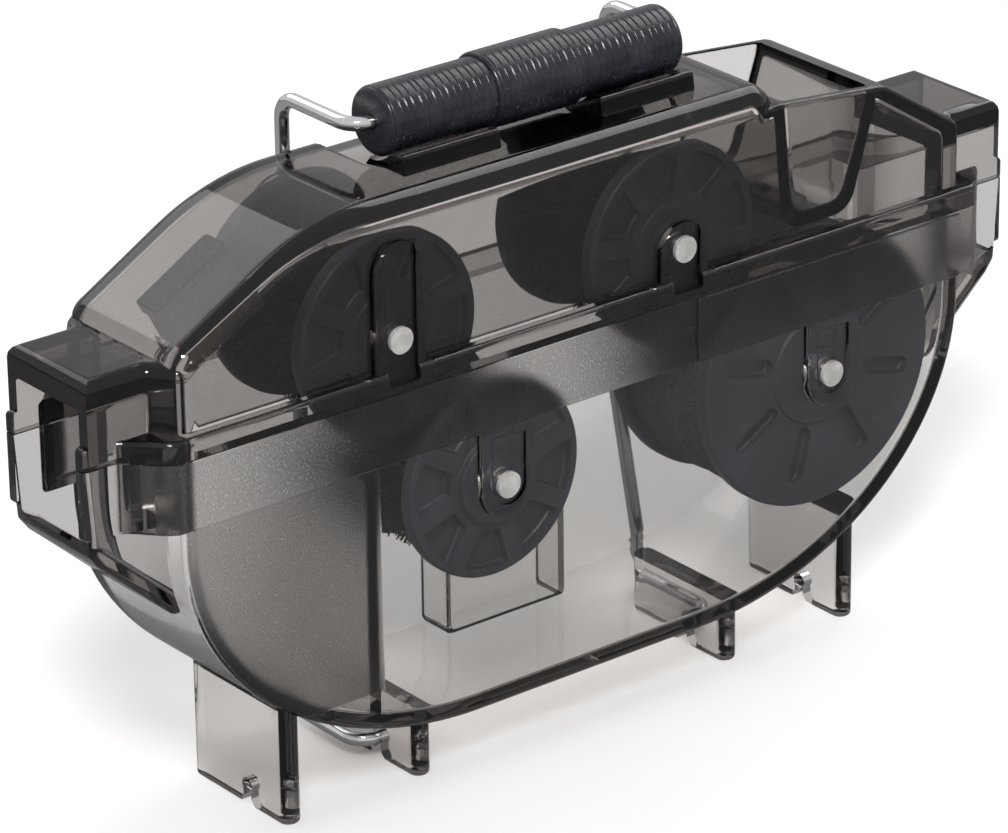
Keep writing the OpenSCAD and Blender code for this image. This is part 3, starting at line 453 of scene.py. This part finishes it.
def disc_blank(r, boss_face, hub_r, hub_face):
    """A disc with its half sleeve and hub, from the middle plane to the hub's face at the front."""
    bore, sleeve, middle = 2.5, 5.4, 0.15
    p = [(bore, -middle), (sleeve, -middle), (sleeve, -DISC_BACK), (r, -DISC_BACK),
         (r, -DISC_FACE), (hub_r, -DISC_FACE), (hub_r, -hub_face), (BOSS_R, -hub_face),
         (BOSS_R, -boss_face), (bore, -boss_face)]
    return revolved(rounded(p, [0, 0, 0, 0.4, 0.6, 0.3, 0.3, 0.2, 0.3, 0.2], 3))


def recess(outline, edge):
    """A tool that sinks a shape 1.7 mm into a disc's outer face, with round bottom edges."""
    tool = plate(outline, -DISC_FACE - 1, -DISC_FACE + 1.7, edge=edge, low_edge=0)
    tool.data.transform(Matrix.Translation((0, -MIDDLE_Y, 0)))
    return tool


def spoked_disc(boss_face):
    """A brush wheel's disc: eight pockets between eight broad spokes, and a ring groove on the hub.

    On either side of its middle, a pocket spans 22.5 degrees less asin(half a spoke / radius).
    """
    radii, half_spoke = (9.8, 16.9), 1.7
    inner, outer = (math.pi / SPOKES - math.asin(half_spoke / r) for r in radii)
    steps = []
    for k in range(SPOKES):
        middle = 2 * math.pi / SPOKES * (k + 0.5)
        edges = (np.linspace(-inner, inner, 5) + middle, np.linspace(outer, -outer, 7) + middle)
        sector = np.concatenate([np.stack([r * np.cos(a), r * np.sin(a)], 1)
                                 for r, a in zip(radii, edges)])
        steps.append((CUT, recess(sector, 0.5)))
    above, floor = -boss_face - 1, -boss_face + 0.35
    steps.append((CUT, revolved([(5.6, above), (6.2, above), (6.2, floor), (5.6, floor)])))
    return carve(disc_blank(18.5, boss_face, 8.2, boss_face - 0.2), steps, "spoked_disc")


def slotted_disc(boss_face):
    """The sponge wheel's disc: eight round-ended slots outside a broad raised hub."""
    near, far, r = 13, 20.6, 1.7
    a = np.linspace(-math.pi / 2, math.pi / 2, 9)
    ends = np.concatenate([np.stack([far + r * np.cos(a), r * np.sin(a)], 1),
                           np.stack([near - r * np.cos(a), -r * np.sin(a)], 1)])
    steps = []
    for k in range(SPOKES):
        c, t = math.cos(2 * math.pi / SPOKES * k), math.sin(2 * math.pi / SPOKES * k)
        steps.append((CUT, recess(ends @ np.array([[c, t], [-t, c]]), 0.4)))
    return carve(disc_blank(26.55, boss_face, 10.6, DISC_FACE + 0.6), steps, "slotted_disc")


def set_on_axle(blank, name, centre, turn, front):
    """A copy of a disc on its axle; the rear one is the front one turned round."""
    piece = bpy.data.objects.new(name, blank.data.copy())
    bpy.context.scene.collection.objects.link(piece)
    face = Matrix.Identity(4) if front else Matrix.Rotation(math.pi, 4, "Z")
    spin = Matrix.Rotation(-math.radians(turn), 4, "Y")
    piece.data.transform(Matrix.Translation((centre[0], MIDDLE_Y, centre[1])) @ spin @ face)
    return piece


def strands(roots, tips, side, name, bend):
    """Four-sided bristles from root to tip, each a tapered prism of three rings with its own bend.

    A ring's middle is root + s * (tip - root) + bend * s^2, for s from 0 to 1, and its corners
    stand off it by side * (1 - 0.35 s).
    """
    aside = [0.31, 0.87, 0.37]     # no bristle runs this way
    taper, rings, corners = 0.35, 3, 4
    along = (tips - roots) / np.linalg.norm(tips - roots, axis=1)[:, None]
    across = np.cross(along, aside)
    across /= np.linalg.norm(across, axis=1)[:, None]
    other = np.cross(along, across)
    s = np.linspace(0, 1, rings)[None, :, None, None]
    spine = roots[:, None, None] + s * (tips - roots)[:, None, None] + s * s * bend[:, None, None]
    a = np.arange(corners) * math.pi / 2 + math.pi / 4
    corner = (np.cos(a)[None, None, :, None] * across[:, None, None]
              + np.sin(a)[None, None, :, None] * other[:, None, None])
    points = (spine + corner * side * (1 - taper * s)).reshape(-1, 3)
    base = np.arange(len(roots))[:, None, None] * rings * corners
    r, c = np.meshgrid(np.arange(rings - 1) * corners, np.arange(corners), indexing="ij")
    step = (c + 1) % corners
    quads = np.stack([r + c, r + step, r + corners + step, r + corners + c], -1)
    caps = np.array([[3, 2, 1, 0], [8, 9, 10, 11]])
    faces = np.concatenate([quads.reshape(-1, 4), caps])[None] + base
    return mesh_object(name, points, faces.reshape(-1, 4).tolist())


def wheel_bristles(name, centre, rng):
    """Rows of fine bristles round a backing ring, with a little scatter in place and lean."""
    rows, count, row_end = 15, 64, 9.8
    root, inner, outer, half = 8.2, 5.95, 8.6, 10.3
    y, a = np.meshgrid(np.linspace(-row_end, row_end, rows),
                       np.linspace(0, 2 * math.pi, count, endpoint=False), indexing="ij")
    total = rows * count
    y = y.ravel() + rng.normal(0, 0.12, total)
    a = a.ravel() + rng.normal(0, 0.02, total)
    lean = rng.normal(0, 0.045, total)
    tip = rng.uniform(16.6, 17.6, total)
    roots = np.stack([root * np.cos(a), y, root * np.sin(a)], 1)
    ends = np.stack([tip * np.cos(a + lean), y + rng.normal(0, 0.2, total),
                     tip * np.sin(a + lean)], 1)
    piece = strands(roots, ends, 0.2, name, rng.normal(0, 0.12, (total, 3)))
    backing = [(inner, -half), (outer, -half), (outer, half), (inner, half)]
    join(piece, revolved(rounded(backing, [0, 0.5, 0.5, 0], 3)))
    piece.data.transform(Matrix.Translation((centre[0], MIDDLE_Y, centre[1])))
    return piece


def join(piece, other):
    """Adds another mesh's faces to a piece and drops the other object."""
    bm = bmesh.new()
    bm.from_mesh(piece.data)
    bm.from_mesh(other.data)
    bm.to_mesh(piece.data)
    bm.free()
    bpy.data.objects.remove(other)


SLOPE_X = -57.5                    # the roof slopes down to the left from here
SLOPE = math.atan2(ROOF - 94.0, SLOPE_X + 86)


def under_slope(points):
    """Points given along, across and off the sloping roof, from 2.7 mm below its outer face."""
    c, t = math.cos(SLOPE), math.sin(SLOPE)
    x, y, z = points[:, 0] - 1.2, points[:, 1], points[:, 2] - WALL - 0.3
    return np.stack([SLOPE_X + x * c - z * t, y + MIDDLE_Y, ROOF + x * t + z * c], 1)


def fixed_brush(rng):
    """A bar under the sloping roof with tufts of bristles square to it, in a grid of holes."""
    low, high, near, far, thick = -17 - 8.4, -8.4, -1.5, 4.5, 3
    bar = plate(rounded(rectangle(low, high, near, far), 0.8, 4), -thick, 0, 0.5, "z")
    bar.data.transform(Matrix.Translation((0, -MIDDLE_Y, 0)))
    points = np.array([v.co[:] for v in bar.data.vertices])
    bar.data.vertices.foreach_set("co", under_slope(points).ravel())
    columns, rows, per_hole, hole_r, splay = 11, 4, 14, 0.5, 0.4
    x, y = np.meshgrid(np.linspace(low + 1, high - 1, columns),
                       np.linspace(near + 0.9, far - 0.9, rows), indexing="ij")
    x, y = np.repeat(x.ravel(), per_hole), np.repeat(y.ravel(), per_hole)
    a, r = rng.uniform(0, 2 * math.pi, len(x)), hole_r * np.sqrt(rng.uniform(0, 1, len(x)))
    x, y = x + r * np.cos(a), y + r * np.sin(a)
    roots = np.stack([x, y, np.full(len(x), 0.2 - thick)], 1)
    tips = np.stack([x + splay * r * np.cos(a), y + splay * r * np.sin(a),
                     -thick - rng.uniform(8.4, 9.2, len(x))], 1)
    made = strands(under_slope(roots), under_slope(tips), 0.15, "fixed_bristles",
                   rng.normal(0, 0.15, (len(x), 3)))
    return bar, made


def foam_ring():
    """The sponge wheel's foam: radius 25.35 - 0.55 |s|^6 - 0.15 cos(3 pi s) from rim to rim."""
    half, bore = 10.35, 6.2
    s = np.linspace(-1, 1, 25)
    radius = 25.35 - 0.55 * np.abs(s) ** 6 - 0.15 * np.cos(s * math.pi * 3)
    inner = np.array([[bore, half], [bore, -half]])
    return revolved(np.concatenate([np.stack([radius, half * s], 1), inner]), 128)


def bail_path():
    """The bail's centre line: hinge, splayed arms behind the case, round corners and the grip.

    A corner's arc starts bend_r / tan(half the corner's angle) along each side. Its points are
    the centre plus the two end spokes blended by sines.
    """
    bend_r, longest = 4, 6
    arm_x, arm_y, knee_z = 35.8, BELT_HALF + WIRE_R + 0.35, 45
    splay_x = INNER_FOOT + FOOT_R + WIRE_R + 2.5

    def side(s):
        arm = s * arm_x - GRIP_SHIFT
        return [[s * (INNER_FOOT - 1.1), HINGE_Y, HINGE_Z], [s * splay_x, HINGE_Y, HINGE_Z],
                [s * splay_x, arm_y, HINGE_Z], [arm, arm_y, knee_z], [arm, arm_y, GRIP_Z],
                [arm, 0, GRIP_Z]]

    corners = np.array(side(-1) + side(1)[::-1])
    path = [corners[:1]]
    for i in range(1, len(corners) - 1):
        before, after = corners[i - 1] - corners[i], corners[i + 1] - corners[i]
        before, after = before / np.linalg.norm(before), after / np.linalg.norm(after)
        half = math.acos(before @ after) / 2
        reach = min(bend_r / math.tan(half), longest)
        inwards = (before + after) / np.linalg.norm(before + after)
        middle = corners[i] + inwards * reach * math.tan(half) / math.sin(half)
        first, last = corners[i] + before * reach - middle, corners[i] + after * reach - middle
        sweep = math.pi - 2 * half
        a = (sweep * np.linspace(0, 1, 13))[:, None]
        path.append(middle + (first * np.sin(sweep - a) + last * np.sin(a)) / math.sin(sweep))
    path.append(corners[-1:])
    return np.concatenate(path) + [0, MIDDLE_Y, 0]


def tube(path, r, sides=20):
    """A round wire with flat ends: rings square to the path, carried along it without twist.

    A ring's point is path + r * (up * cos a + side * sin a).
    """
    step = np.gradient(path, axis=0)
    step /= np.linalg.norm(step, axis=1)[:, None]
    up = [np.array([0.0, 0.0, 1.0])]
    for t in step:
        last = up[-1] - t * (t @ up[-1])
        up.append(last / np.linalg.norm(last))
    up = np.array(up[1:])
    side = np.cross(step, up)
    a = np.linspace(0, 2 * math.pi, sides, endpoint=False)[None, :, None]
    rings = path[:, None] + r * (np.cos(a) * up[:, None] + np.sin(a) * side[:, None])
    n = len(path)
    k, c = np.meshgrid(np.arange(n - 1), np.arange(sides), indexing="ij")
    quads = np.stack([k * sides + c, (k + 1) * sides + c, (k + 1) * sides + (c + 1) % sides,
                      k * sides + (c + 1) % sides], -1).reshape(-1, 4).tolist()
    quads += [list(range(sides)), list(range((n - 1) * sides, n * sides))[::-1]]
    return mesh_object("wire", rings.reshape(-1, 3), quads)


def grip_sleeve(name, start, length, r, soft_left, soft_right, rng):
    """A sleeve of fine uneven rings: radius r less depth * exp(-(distance / width)^2) at each
    ring's edge, and with each soft end a quarter circle.
    """
    first, pitch, depth, width, bore = 0.9, 1.45, 0.17, 0.12, 1.42
    x = np.linspace(0, length, int(length * 12) + 1)
    edges = np.arange(first, length - 0.5, pitch)
    edges = np.sort(edges + rng.normal(0, 0.1, len(edges)))
    gap = np.abs(x[:, None] - edges[None]).min(1)
    radius = r - depth * np.exp(-(gap / width) ** 2)
    for soft, distance in ((soft_left, x), (soft_right, length - x)):
        if soft:
            u = np.clip(distance / soft, 0, 1)
            radius -= soft * (1 - np.sqrt(1 - (1 - u) ** 2))
    profile = np.concatenate([np.stack([radius, x], 1), [[bore, length], [bore, 0]]])
    piece = revolved(profile, 64)
    piece.name = piece.data.name = name
    piece.data.transform(Matrix(((0, 1, 0, start - GRIP_SHIFT), (1, 0, 0, MIDDLE_Y),
                                 (0, 0, 1, GRIP_Z), (0, 0, 0, 1))))
    piece.data.flip_normals()
    return piece


# Materials
def material(name):
    made = bpy.data.materials.new(name)
    made.use_nodes = True
    tree = made.node_tree
    return made, tree, tree.nodes["Principled BSDF"]


def node(tree, kind, **values):
    """A new node; a value goes to the input of that name, or else to the node's own setting."""
    made = tree.nodes.new(kind)
    for key, value in values.items():
        if key in made.inputs:
            made.inputs[key].default_value = value
        else:
            setattr(made, key, value)
    return made


def math_node(tree, operation, a, b=None, clamp=False):
    made = tree.nodes.new("ShaderNodeMath")
    made.operation, made.use_clamp = operation, clamp
    for socket, value in zip(made.inputs, (a, b)):
        if isinstance(value, (int, float)):
            socket.default_value = value
        elif value is not None:
            tree.links.new(value, socket)
    return made.outputs[0]


def ramp_between(tree, value, low, high, to_low=0.0, to_high=1.0):
    made = tree.nodes.new("ShaderNodeMapRange")
    made.inputs["From Min"].default_value, made.inputs["From Max"].default_value = low, high
    made.inputs["To Min"].default_value, made.inputs["To Max"].default_value = to_low, to_high
    tree.links.new(value, made.inputs["Value"])
    return made.outputs["Result"]


def mixed(tree, mask, first, second):
    """A colour that goes from the first to the second with the mask."""
    made = tree.nodes.new("ShaderNodeMix")
    made.data_type = "RGBA"
    tree.links.new(mask, made.inputs["Factor"])
    colour = [socket for socket in made.outputs if socket.type == "RGBA"][0]
    for socket, value in zip([i for i in made.inputs if i.type == "RGBA"], (first, second)):
        socket.default_value = (*value, 1)
    return colour


def new_group(name, takes, gives):
    """An empty shader group with named inputs and outputs."""
    group = bpy.data.node_groups.new(name, "ShaderNodeTree")
    for key, kind, value in takes:
        socket = group.interface.new_socket(key, in_out="INPUT", socket_type=kind)
        if value is not None:
            socket.default_value = value
    for key, kind in gives:
        group.interface.new_socket(key, in_out="OUTPUT", socket_type=kind)
    return group, group.nodes.new("NodeGroupInput"), group.nodes.new("NodeGroupOutput")


FLOAT, VECTOR = "NodeSocketFloat", "NodeSocketVector"


def grain_group():
    """Spark-eroded grain: fine noise for height, and its brightest specks as flecks."""
    takes = [("Vector", VECTOR, None), ("Scale", FLOAT, 3000.0), ("Flecks", FLOAT, 0.62)]
    gives = [("Height", FLOAT), ("Flecks", FLOAT)]
    group, given, out = new_group("mould_grain", takes, gives)
    noise = node(group, "ShaderNodeTexNoise", Detail=2.0, Roughness=0.6)
    group.links.new(given.outputs["Vector"], noise.inputs["Vector"])
    group.links.new(given.outputs["Scale"], noise.inputs["Scale"])
    group.links.new(noise.outputs["Fac"], out.inputs["Height"])
    above = math_node(group, "SUBTRACT", noise.outputs["Fac"], given.outputs["Flecks"])
    group.links.new(math_node(group, "MULTIPLY", above, 12.0, True), out.inputs["Flecks"])
    return group


def wear_group():
    """Handling marks: stretched noise for hair scratches, broad noise for smears, dots of dust."""
    takes = [("Vector", VECTOR, None), ("Scale", FLOAT, 60.0)]
    gives = [("Scratches", FLOAT), ("Smears", FLOAT), ("Dust", FLOAT)]
    group, given, out = new_group("handling_marks", takes, gives)
    turn = node(group, "ShaderNodeMapping", Rotation=(0.3, 0.7, 0.5), Scale=(1, 14, 3))
    group.links.new(given.outputs["Vector"], turn.inputs["Vector"])
    lines = node(group, "ShaderNodeTexNoise", Detail=3.0)
    group.links.new(turn.outputs[0], lines.inputs["Vector"])
    group.links.new(given.outputs["Scale"], lines.inputs["Scale"])
    group.links.new(ramp_between(group, lines.outputs["Fac"], 0.66, 0.72), out.inputs["Scratches"])
    broad = node(group, "ShaderNodeTexNoise", Detail=2.0)
    group.links.new(given.outputs["Vector"], broad.inputs["Vector"])
    group.links.new(given.outputs["Scale"], broad.inputs["Scale"])
    group.links.new(ramp_between(group, broad.outputs["Fac"], 0.4, 0.7), out.inputs["Smears"])
    dots = node(group, "ShaderNodeTexVoronoi")
    group.links.new(given.outputs["Vector"], dots.inputs["Vector"])
    group.links.new(math_node(group, "MULTIPLY", given.outputs["Scale"], 6.0), dots.inputs["Scale"])
    group.links.new(ramp_between(group, dots.outputs["Distance"], 0.07, 0.03), out.inputs["Dust"])
    return group


def zone_group():
    """A box-shaped zone: 1 inside, from the largest of |p - middle| - half over the three axes."""
    takes = [("Vector", VECTOR, None), ("Middle", VECTOR, None), ("Half", VECTOR, None),
             ("Softness", FLOAT, 0.0003)]
    group, given, out = new_group("box_zone", takes, [("Mask", FLOAT)])
    off = node(group, "ShaderNodeVectorMath", operation="SUBTRACT")
    size = node(group, "ShaderNodeVectorMath", operation="ABSOLUTE")
    past = node(group, "ShaderNodeVectorMath", operation="SUBTRACT")
    split = node(group, "ShaderNodeSeparateXYZ")
    group.links.new(given.outputs["Vector"], off.inputs[0])
    group.links.new(given.outputs["Middle"], off.inputs[1])
    group.links.new(off.outputs[0], size.inputs[0])
    group.links.new(size.outputs[0], past.inputs[0])
    group.links.new(given.outputs["Half"], past.inputs[1])
    group.links.new(past.outputs[0], split.inputs[0])
    far = math_node(group, "MAXIMUM", split.outputs[0], split.outputs[1])
    far = math_node(group, "MAXIMUM", far, split.outputs[2])
    share = math_node(group, "DIVIDE", far, given.outputs["Softness"])
    group.links.new(math_node(group, "SUBTRACT", 0.5, share, True), out.inputs["Mask"])
    return group


GRAIN, WEAR, ZONE = grain_group(), wear_group(), zone_group()


def placed_group(tree, group, **values):
    """A group in a material, fed with the piece's object coordinates."""
    made = tree.nodes.new("ShaderNodeGroup")
    made.node_tree = group
    where = tree.nodes.get("where") or tree.nodes.new("ShaderNodeTexCoord")
    where.name = "where"
    tree.links.new(where.outputs["Object"], made.inputs["Vector"])
    for key, value in values.items():
        made.inputs[key].default_value = value
    return made


def bumped(tree, shader, height, strength, distance):
    bump = node(tree, "ShaderNodeBump", Strength=strength, Distance=distance)
    tree.links.new(height, bump.inputs["Height"])
    tree.links.new(bump.outputs[0], shader.inputs["Normal"])


def matte_zones(tree, zones):
    """The largest of the box zones' masks. A zone is two opposite corners in mm and a strength."""
    mask = 0.0
    for low, high, strength in zones:
        low, high = np.array(low) * MM, np.array(high) * MM
        zone = placed_group(tree, ZONE, Middle=tuple((low + high) / 2),
                            Half=tuple((high - low) / 2))
        inside = math_node(tree, "MULTIPLY", zone.outputs[0], strength)
        mask = math_node(tree, "MAXIMUM", mask, inside)
    return mask


def smoky_plastic(name, density, zones, painted_shade_zones, clear_tint, tint, shadow):
    """Clear smoky plastic, absorbing in its depth, with spark-eroded matte zones. Grained zones and
    port zones take a darker tint; in the ports, where two walls lie close behind each other, it is
    painted shade."""
    made, tree, shader = material(name)
    shader.inputs["Transmission Weight"].default_value = 1
    shader.inputs["IOR"].default_value = 1.5
    shader.inputs["Specular IOR Level"].default_value = 0.32
    grain = placed_group(tree, GRAIN, Scale=4200.0, Flecks=0.6)
    marks = placed_group(tree, WEAR, Scale=45.0)
    matte = matte_zones(tree, zones)
    # painted shade: the port zones darken the tint to stand in for light lost through two walls;
    # the grained zones take the same darker tint
    grain_tone_and_painted_shade = math_node(tree, "MAXIMUM", matte, matte_zones(tree, painted_shade_zones))
    fleck = math_node(tree, "MULTIPLY", grain.outputs["Flecks"], matte)
    fleck = math_node(tree, "MULTIPLY", fleck, 0.7)
    grain_tone_and_painted_shade = math_node(tree, "SUBTRACT", grain_tone_and_painted_shade, fleck, True)
    tree.links.new(mixed(tree, grain_tone_and_painted_shade, clear_tint, tint), shader.inputs["Base Color"])
    smeared = math_node(tree, "MULTIPLY", marks.outputs["Smears"], 0.03)
    scratched = math_node(tree, "MULTIPLY", marks.outputs["Scratches"], 0.12)
    smooth = math_node(tree, "ADD", scratched, smeared)
    flecked = math_node(tree, "MULTIPLY", grain.outputs["Flecks"], -0.14)
    rough = math_node(tree, "MULTIPLY", matte, math_node(tree, "ADD", flecked, 0.36))
    total = math_node(tree, "ADD", math_node(tree, "ADD", rough, smooth), 0.015)
    tree.links.new(total, shader.inputs["Roughness"])
    bumped(tree, shader, math_node(tree, "MULTIPLY", grain.outputs["Height"], matte), 0.55, 0.0002)
    absorb = node(tree, "ShaderNodeVolumeAbsorption", Color=(0.44, 0.41, 0.395, 1), Density=density)
    path = node(tree, "ShaderNodeLightPath")
    clear = node(tree, "ShaderNodeBsdfTransparent", Color=(*shadow, 1))
    mix = node(tree, "ShaderNodeMixShader")
    out = tree.nodes["Material Output"]
    tree.links.new(path.outputs["Is Shadow Ray"], mix.inputs[0])
    tree.links.new(shader.outputs[0], mix.inputs[1])
    tree.links.new(clear.outputs[0], mix.inputs[2])
    tree.links.new(mix.outputs[0], out.inputs["Surface"])
    tree.links.new(absorb.outputs[0], out.inputs["Volume"])
    return made


def worn(name, dark, light, rough, grain_scale, bump, metallic=0.0, mark_scale=90.0,
         spread=0.1):
    """A solid finish: two close colours by grain and smears, uneven gloss and a fine bump."""
    made, tree, shader = material(name)
    grain = placed_group(tree, GRAIN, Scale=grain_scale, Flecks=0.58)
    marks = placed_group(tree, WEAR, Scale=mark_scale)
    tone = math_node(tree, "MULTIPLY", grain.outputs["Height"], marks.outputs["Smears"])
    tone = math_node(tree, "MAXIMUM", tone, marks.outputs["Scratches"])
    tone = math_node(tree, "MAXIMUM", tone, marks.outputs["Dust"])
    tree.links.new(mixed(tree, tone, dark, light), shader.inputs["Base Color"])
    gloss = ramp_between(tree, grain.outputs["Height"], 0.3, 0.7, rough - spread, rough + spread)
    tree.links.new(gloss, shader.inputs["Roughness"])
    shader.inputs["Metallic"].default_value = metallic
    bumped(tree, shader, grain.outputs["Height"], bump, 0.0001)
    return made


def foam_material():
    """Open-celled foam: cells from a Voronoi pattern, sunk as pits in height, and painted shade
    that darkens the pits in colour.
    """
    made, tree, shader = material("foam_cells")
    where = node(tree, "ShaderNodeTexCoord")
    cells = node(tree, "ShaderNodeTexVoronoi", Scale=1500.0)
    tree.links.new(where.outputs["Object"], cells.inputs["Vector"])
    pit_height_and_shade = ramp_between(tree, cells.outputs["Distance"], 0.15, 0.55)
    # painted shade: the pits are darker in colour, not only lower
    colour = mixed(tree, pit_height_and_shade, (0.008, 0.009, 0.012), (0.045, 0.048, 0.06))
    tree.links.new(colour, shader.inputs["Base Color"])
    shader.inputs["Roughness"].default_value = 0.9
    bumped(tree, shader, pit_height_and_shade, 0.7, 0.0004)
    return made


def floor_paper():
    """Pale paper with a painted reflection: wherever gloss mirrors it, it turns dark, as if a black
    card stood beside the object.
    """
    made, tree, shader = material("floor_paper")
    path = node(tree, "ShaderNodeLightPath")
    painted_dark_reflection = math_node(tree, "MINIMUM", path.outputs["Glossy Depth"], 1.0)
    # painted reflection: after any glossy bounce the floor shows dark grey instead of pale
    colour = mixed(tree, painted_dark_reflection, (0.86, 0.86, 0.86), (0.2, 0.2, 0.2))
    tree.links.new(colour, shader.inputs["Base Color"])
    shader.inputs["Roughness"].default_value = 0.9
    return made


def dress(piece, made):
    piece.data.materials.clear()
    piece.data.materials.append(made)


# The scene
def place_stage():
    """A pale floor, an even pale world and three soft lamps."""
    reach, aim = 3, Vector((0, 0, 0.06))
    corners = [[-reach, -reach, 0], [reach, -reach, 0], [reach, reach, 0], [-reach, reach, 0]]
    floor = mesh_object("floor", corners, [[0, 1, 2, 3]])
    dress(floor, floor_paper())
    world = bpy.data.worlds.new("studio")
    bpy.context.scene.world = world
    world.use_nodes = True
    sky = world.node_tree.nodes["Background"]
    sky.inputs["Color"].default_value = (1, 1, 1, 1)
    sky.inputs["Strength"].default_value = 0.6
    for name, where, size, power in (("key_lamp", (-0.7, -0.8, 1.2), 0.32, 17),
                                     ("fill_lamp", (0.9, 0.2, 0.9), 0.8, 5),
                                     ("sheen_lamp", (-0.12, 1.2, 1.1), 0.9, 3.8)):
        data = bpy.data.lights.new(name, "AREA")
        data.size, data.energy = size, power
        lamp = bpy.data.objects.new(name, data)
        bpy.context.scene.collection.objects.link(lamp)
        lamp.location = where
        lamp.rotation_euler = (aim - lamp.location).to_track_quat("-Z", "Y").to_euler()


place_camera()
bpy.context.scene.view_settings.view_transform = "Standard"
place_stage()
rng = np.random.default_rng(7)

# Box zones of the plastic: grained ones, and port zones of painted shade where two walls lie close
# behind each other
BAND, PANEL, PORT = 0.82, 1.0, 0.85
tub_zones = [((-103, -30, 63.9), (103, -17.2, 76.5), BAND),
             ((-103, 14.4, 63.9), (103, 30, 76.5), BAND),
             ((-90, -30, 22), (-46.6, -18.2, 64.2), PANEL)]
lid_zones = [((-48, -30, 77), (-35, -18.4, 88), BAND), ((14, -30, 77), (27.5, -18.4, 82), BAND)]
# port zones of painted shade, at strength PORT
tub_painted_shade_zones = [((-103, -12, 30), (-84, 9, 78), PORT), ((84, -12, 30), (103, 9, 78), PORT)]
lid_painted_shade_zones = [((-103, -12, 76), (-88, 9, 93), PORT), ((88, -12, 76), (103, 9, 93), PORT)]
tub_plastic = smoky_plastic("smoky_tub_plastic", 115, tub_zones, tub_painted_shade_zones,
                            clear_tint=(0.985, 0.98, 0.975), tint=(0.25, 0.235, 0.23),
                            shadow=(0.90, 0.89, 0.88))
lid_plastic = smoky_plastic("smoky_lid_plastic", 380, lid_zones, lid_painted_shade_zones,
                            clear_tint=(0.955, 0.95, 0.945), tint=(0.36, 0.34, 0.33),
                            shadow=(0.78, 0.765, 0.755))
finish_piece(lower_tub(), tub_plastic, "tub", ["lower_shell"])
finish_piece(upper_lid(), lid_plastic, "lid", ["lid"])

disc_plastic = worn("wheel_plastic", (0.028, 0.030, 0.042), (0.052, 0.056, 0.074), rough=0.40,
                    grain_scale=1500.0, bump=0.08)
hair = worn("bristle_hair", (0.012, 0.011, 0.012), (0.05, 0.042, 0.036), rough=0.55,
            grain_scale=2500.0, bump=0.1)
tuft_hair = worn("tuft_hair", (0.05, 0.038, 0.03), (0.16, 0.125, 0.10), rough=0.5,
                 grain_scale=2500.0, bump=0.1)
bar_plastic = worn("brush_bar_plastic", (0.006, 0.006, 0.007), (0.02, 0.02, 0.022), rough=0.3,
                   grain_scale=1800.0, bump=0.1)
pin_steel = worn("pin_steel", (0.56, 0.55, 0.53), (0.96, 0.95, 0.93), rough=0.45,
                 grain_scale=1900.0, bump=0.7, metallic=0.6, mark_scale=300.0, spread=0.15)
chrome = worn("bail_chrome", (0.82, 0.83, 0.85), (0.95, 0.95, 0.96), rough=0.09,
              grain_scale=900.0, bump=0.05, metallic=1.0, mark_scale=60.0, spread=0.04)
rubber = worn("grip_rubber", (0.008, 0.009, 0.013), (0.030, 0.032, 0.042), rough=0.24,
              grain_scale=2400.0, bump=0.3, mark_scale=200.0, spread=0.08)

for name in ("upper_left", "upper_middle", "lower_left", "lower_right"):
    dress(nodes["axle_" + name], pin_steel)
upper_disc, lower_disc, sponge_disc = spoked_disc(13.9), spoked_disc(14.9), slotted_disc(14.9)
wheels = (("brush_wheel_left", "wheel_upper_left", WHEELS["left"], 17, upper_disc),
          ("brush_wheel_middle", "wheel_upper_middle", WHEELS["middle"], -9.5, upper_disc),
          ("brush_wheel_lower", "wheel_lower_left", WHEELS["lower"], 15, lower_disc),
          ("sponge_wheel", "wheel_lower_right", SPONGE, -14.4, sponge_disc))
for name, body, centre, turn, blank in wheels:
    for front in (True, False):
        kept = name + ("_front_disc" if front else "_rear_disc")
        disc = set_on_axle(blank, kept + "_shape", centre, turn, front)
        finish_piece(disc, disc_plastic, body, [kept])
    if name != "sponge_wheel":
        brush = wheel_bristles(name + "_hair", centre, rng)
        finish_piece(brush, hair, body, [name + "_bristles"])
for blank in (upper_disc, lower_disc, sponge_disc):
    bpy.data.objects.remove(blank)
foam = foam_ring()
foam.name = foam.data.name = "foam_ring"
foam.data.transform(Matrix.Translation((SPONGE[0], MIDDLE_Y, SPONGE[1])))
finish_piece(foam, foam_material(), "wheel_lower_right", ["sponge_ring"])

bar, tufts = fixed_brush(rng)
bar.name = bar.data.name = "fixed_brush_bar"
finish_piece(bar, bar_plastic, "lid", ["fixed_brush_back"])
finish_piece(tufts, tuft_hair, "lid", ["fixed_brush_bristles"])
wire = tube(bail_path(), WIRE_R)
wire.name = wire.data.name = "bail_rod"
finish_piece(wire, chrome, "bail", ["bail_wire"])
for name, start, length, r, soft in (("grip_left", -32, 22.5, 6.2, (1.2, 0)),
                                     ("grip_middle", -9.5, 19, 6.9, (0.6, 0.6)),
                                     ("grip_right", 9.5, 22.5, 6.2, (0, 1.2))):
    sleeve = grip_sleeve(name + "_rings", start, length, r, *soft, rng)
    finish_piece(sleeve, rubber, "bail", [name])
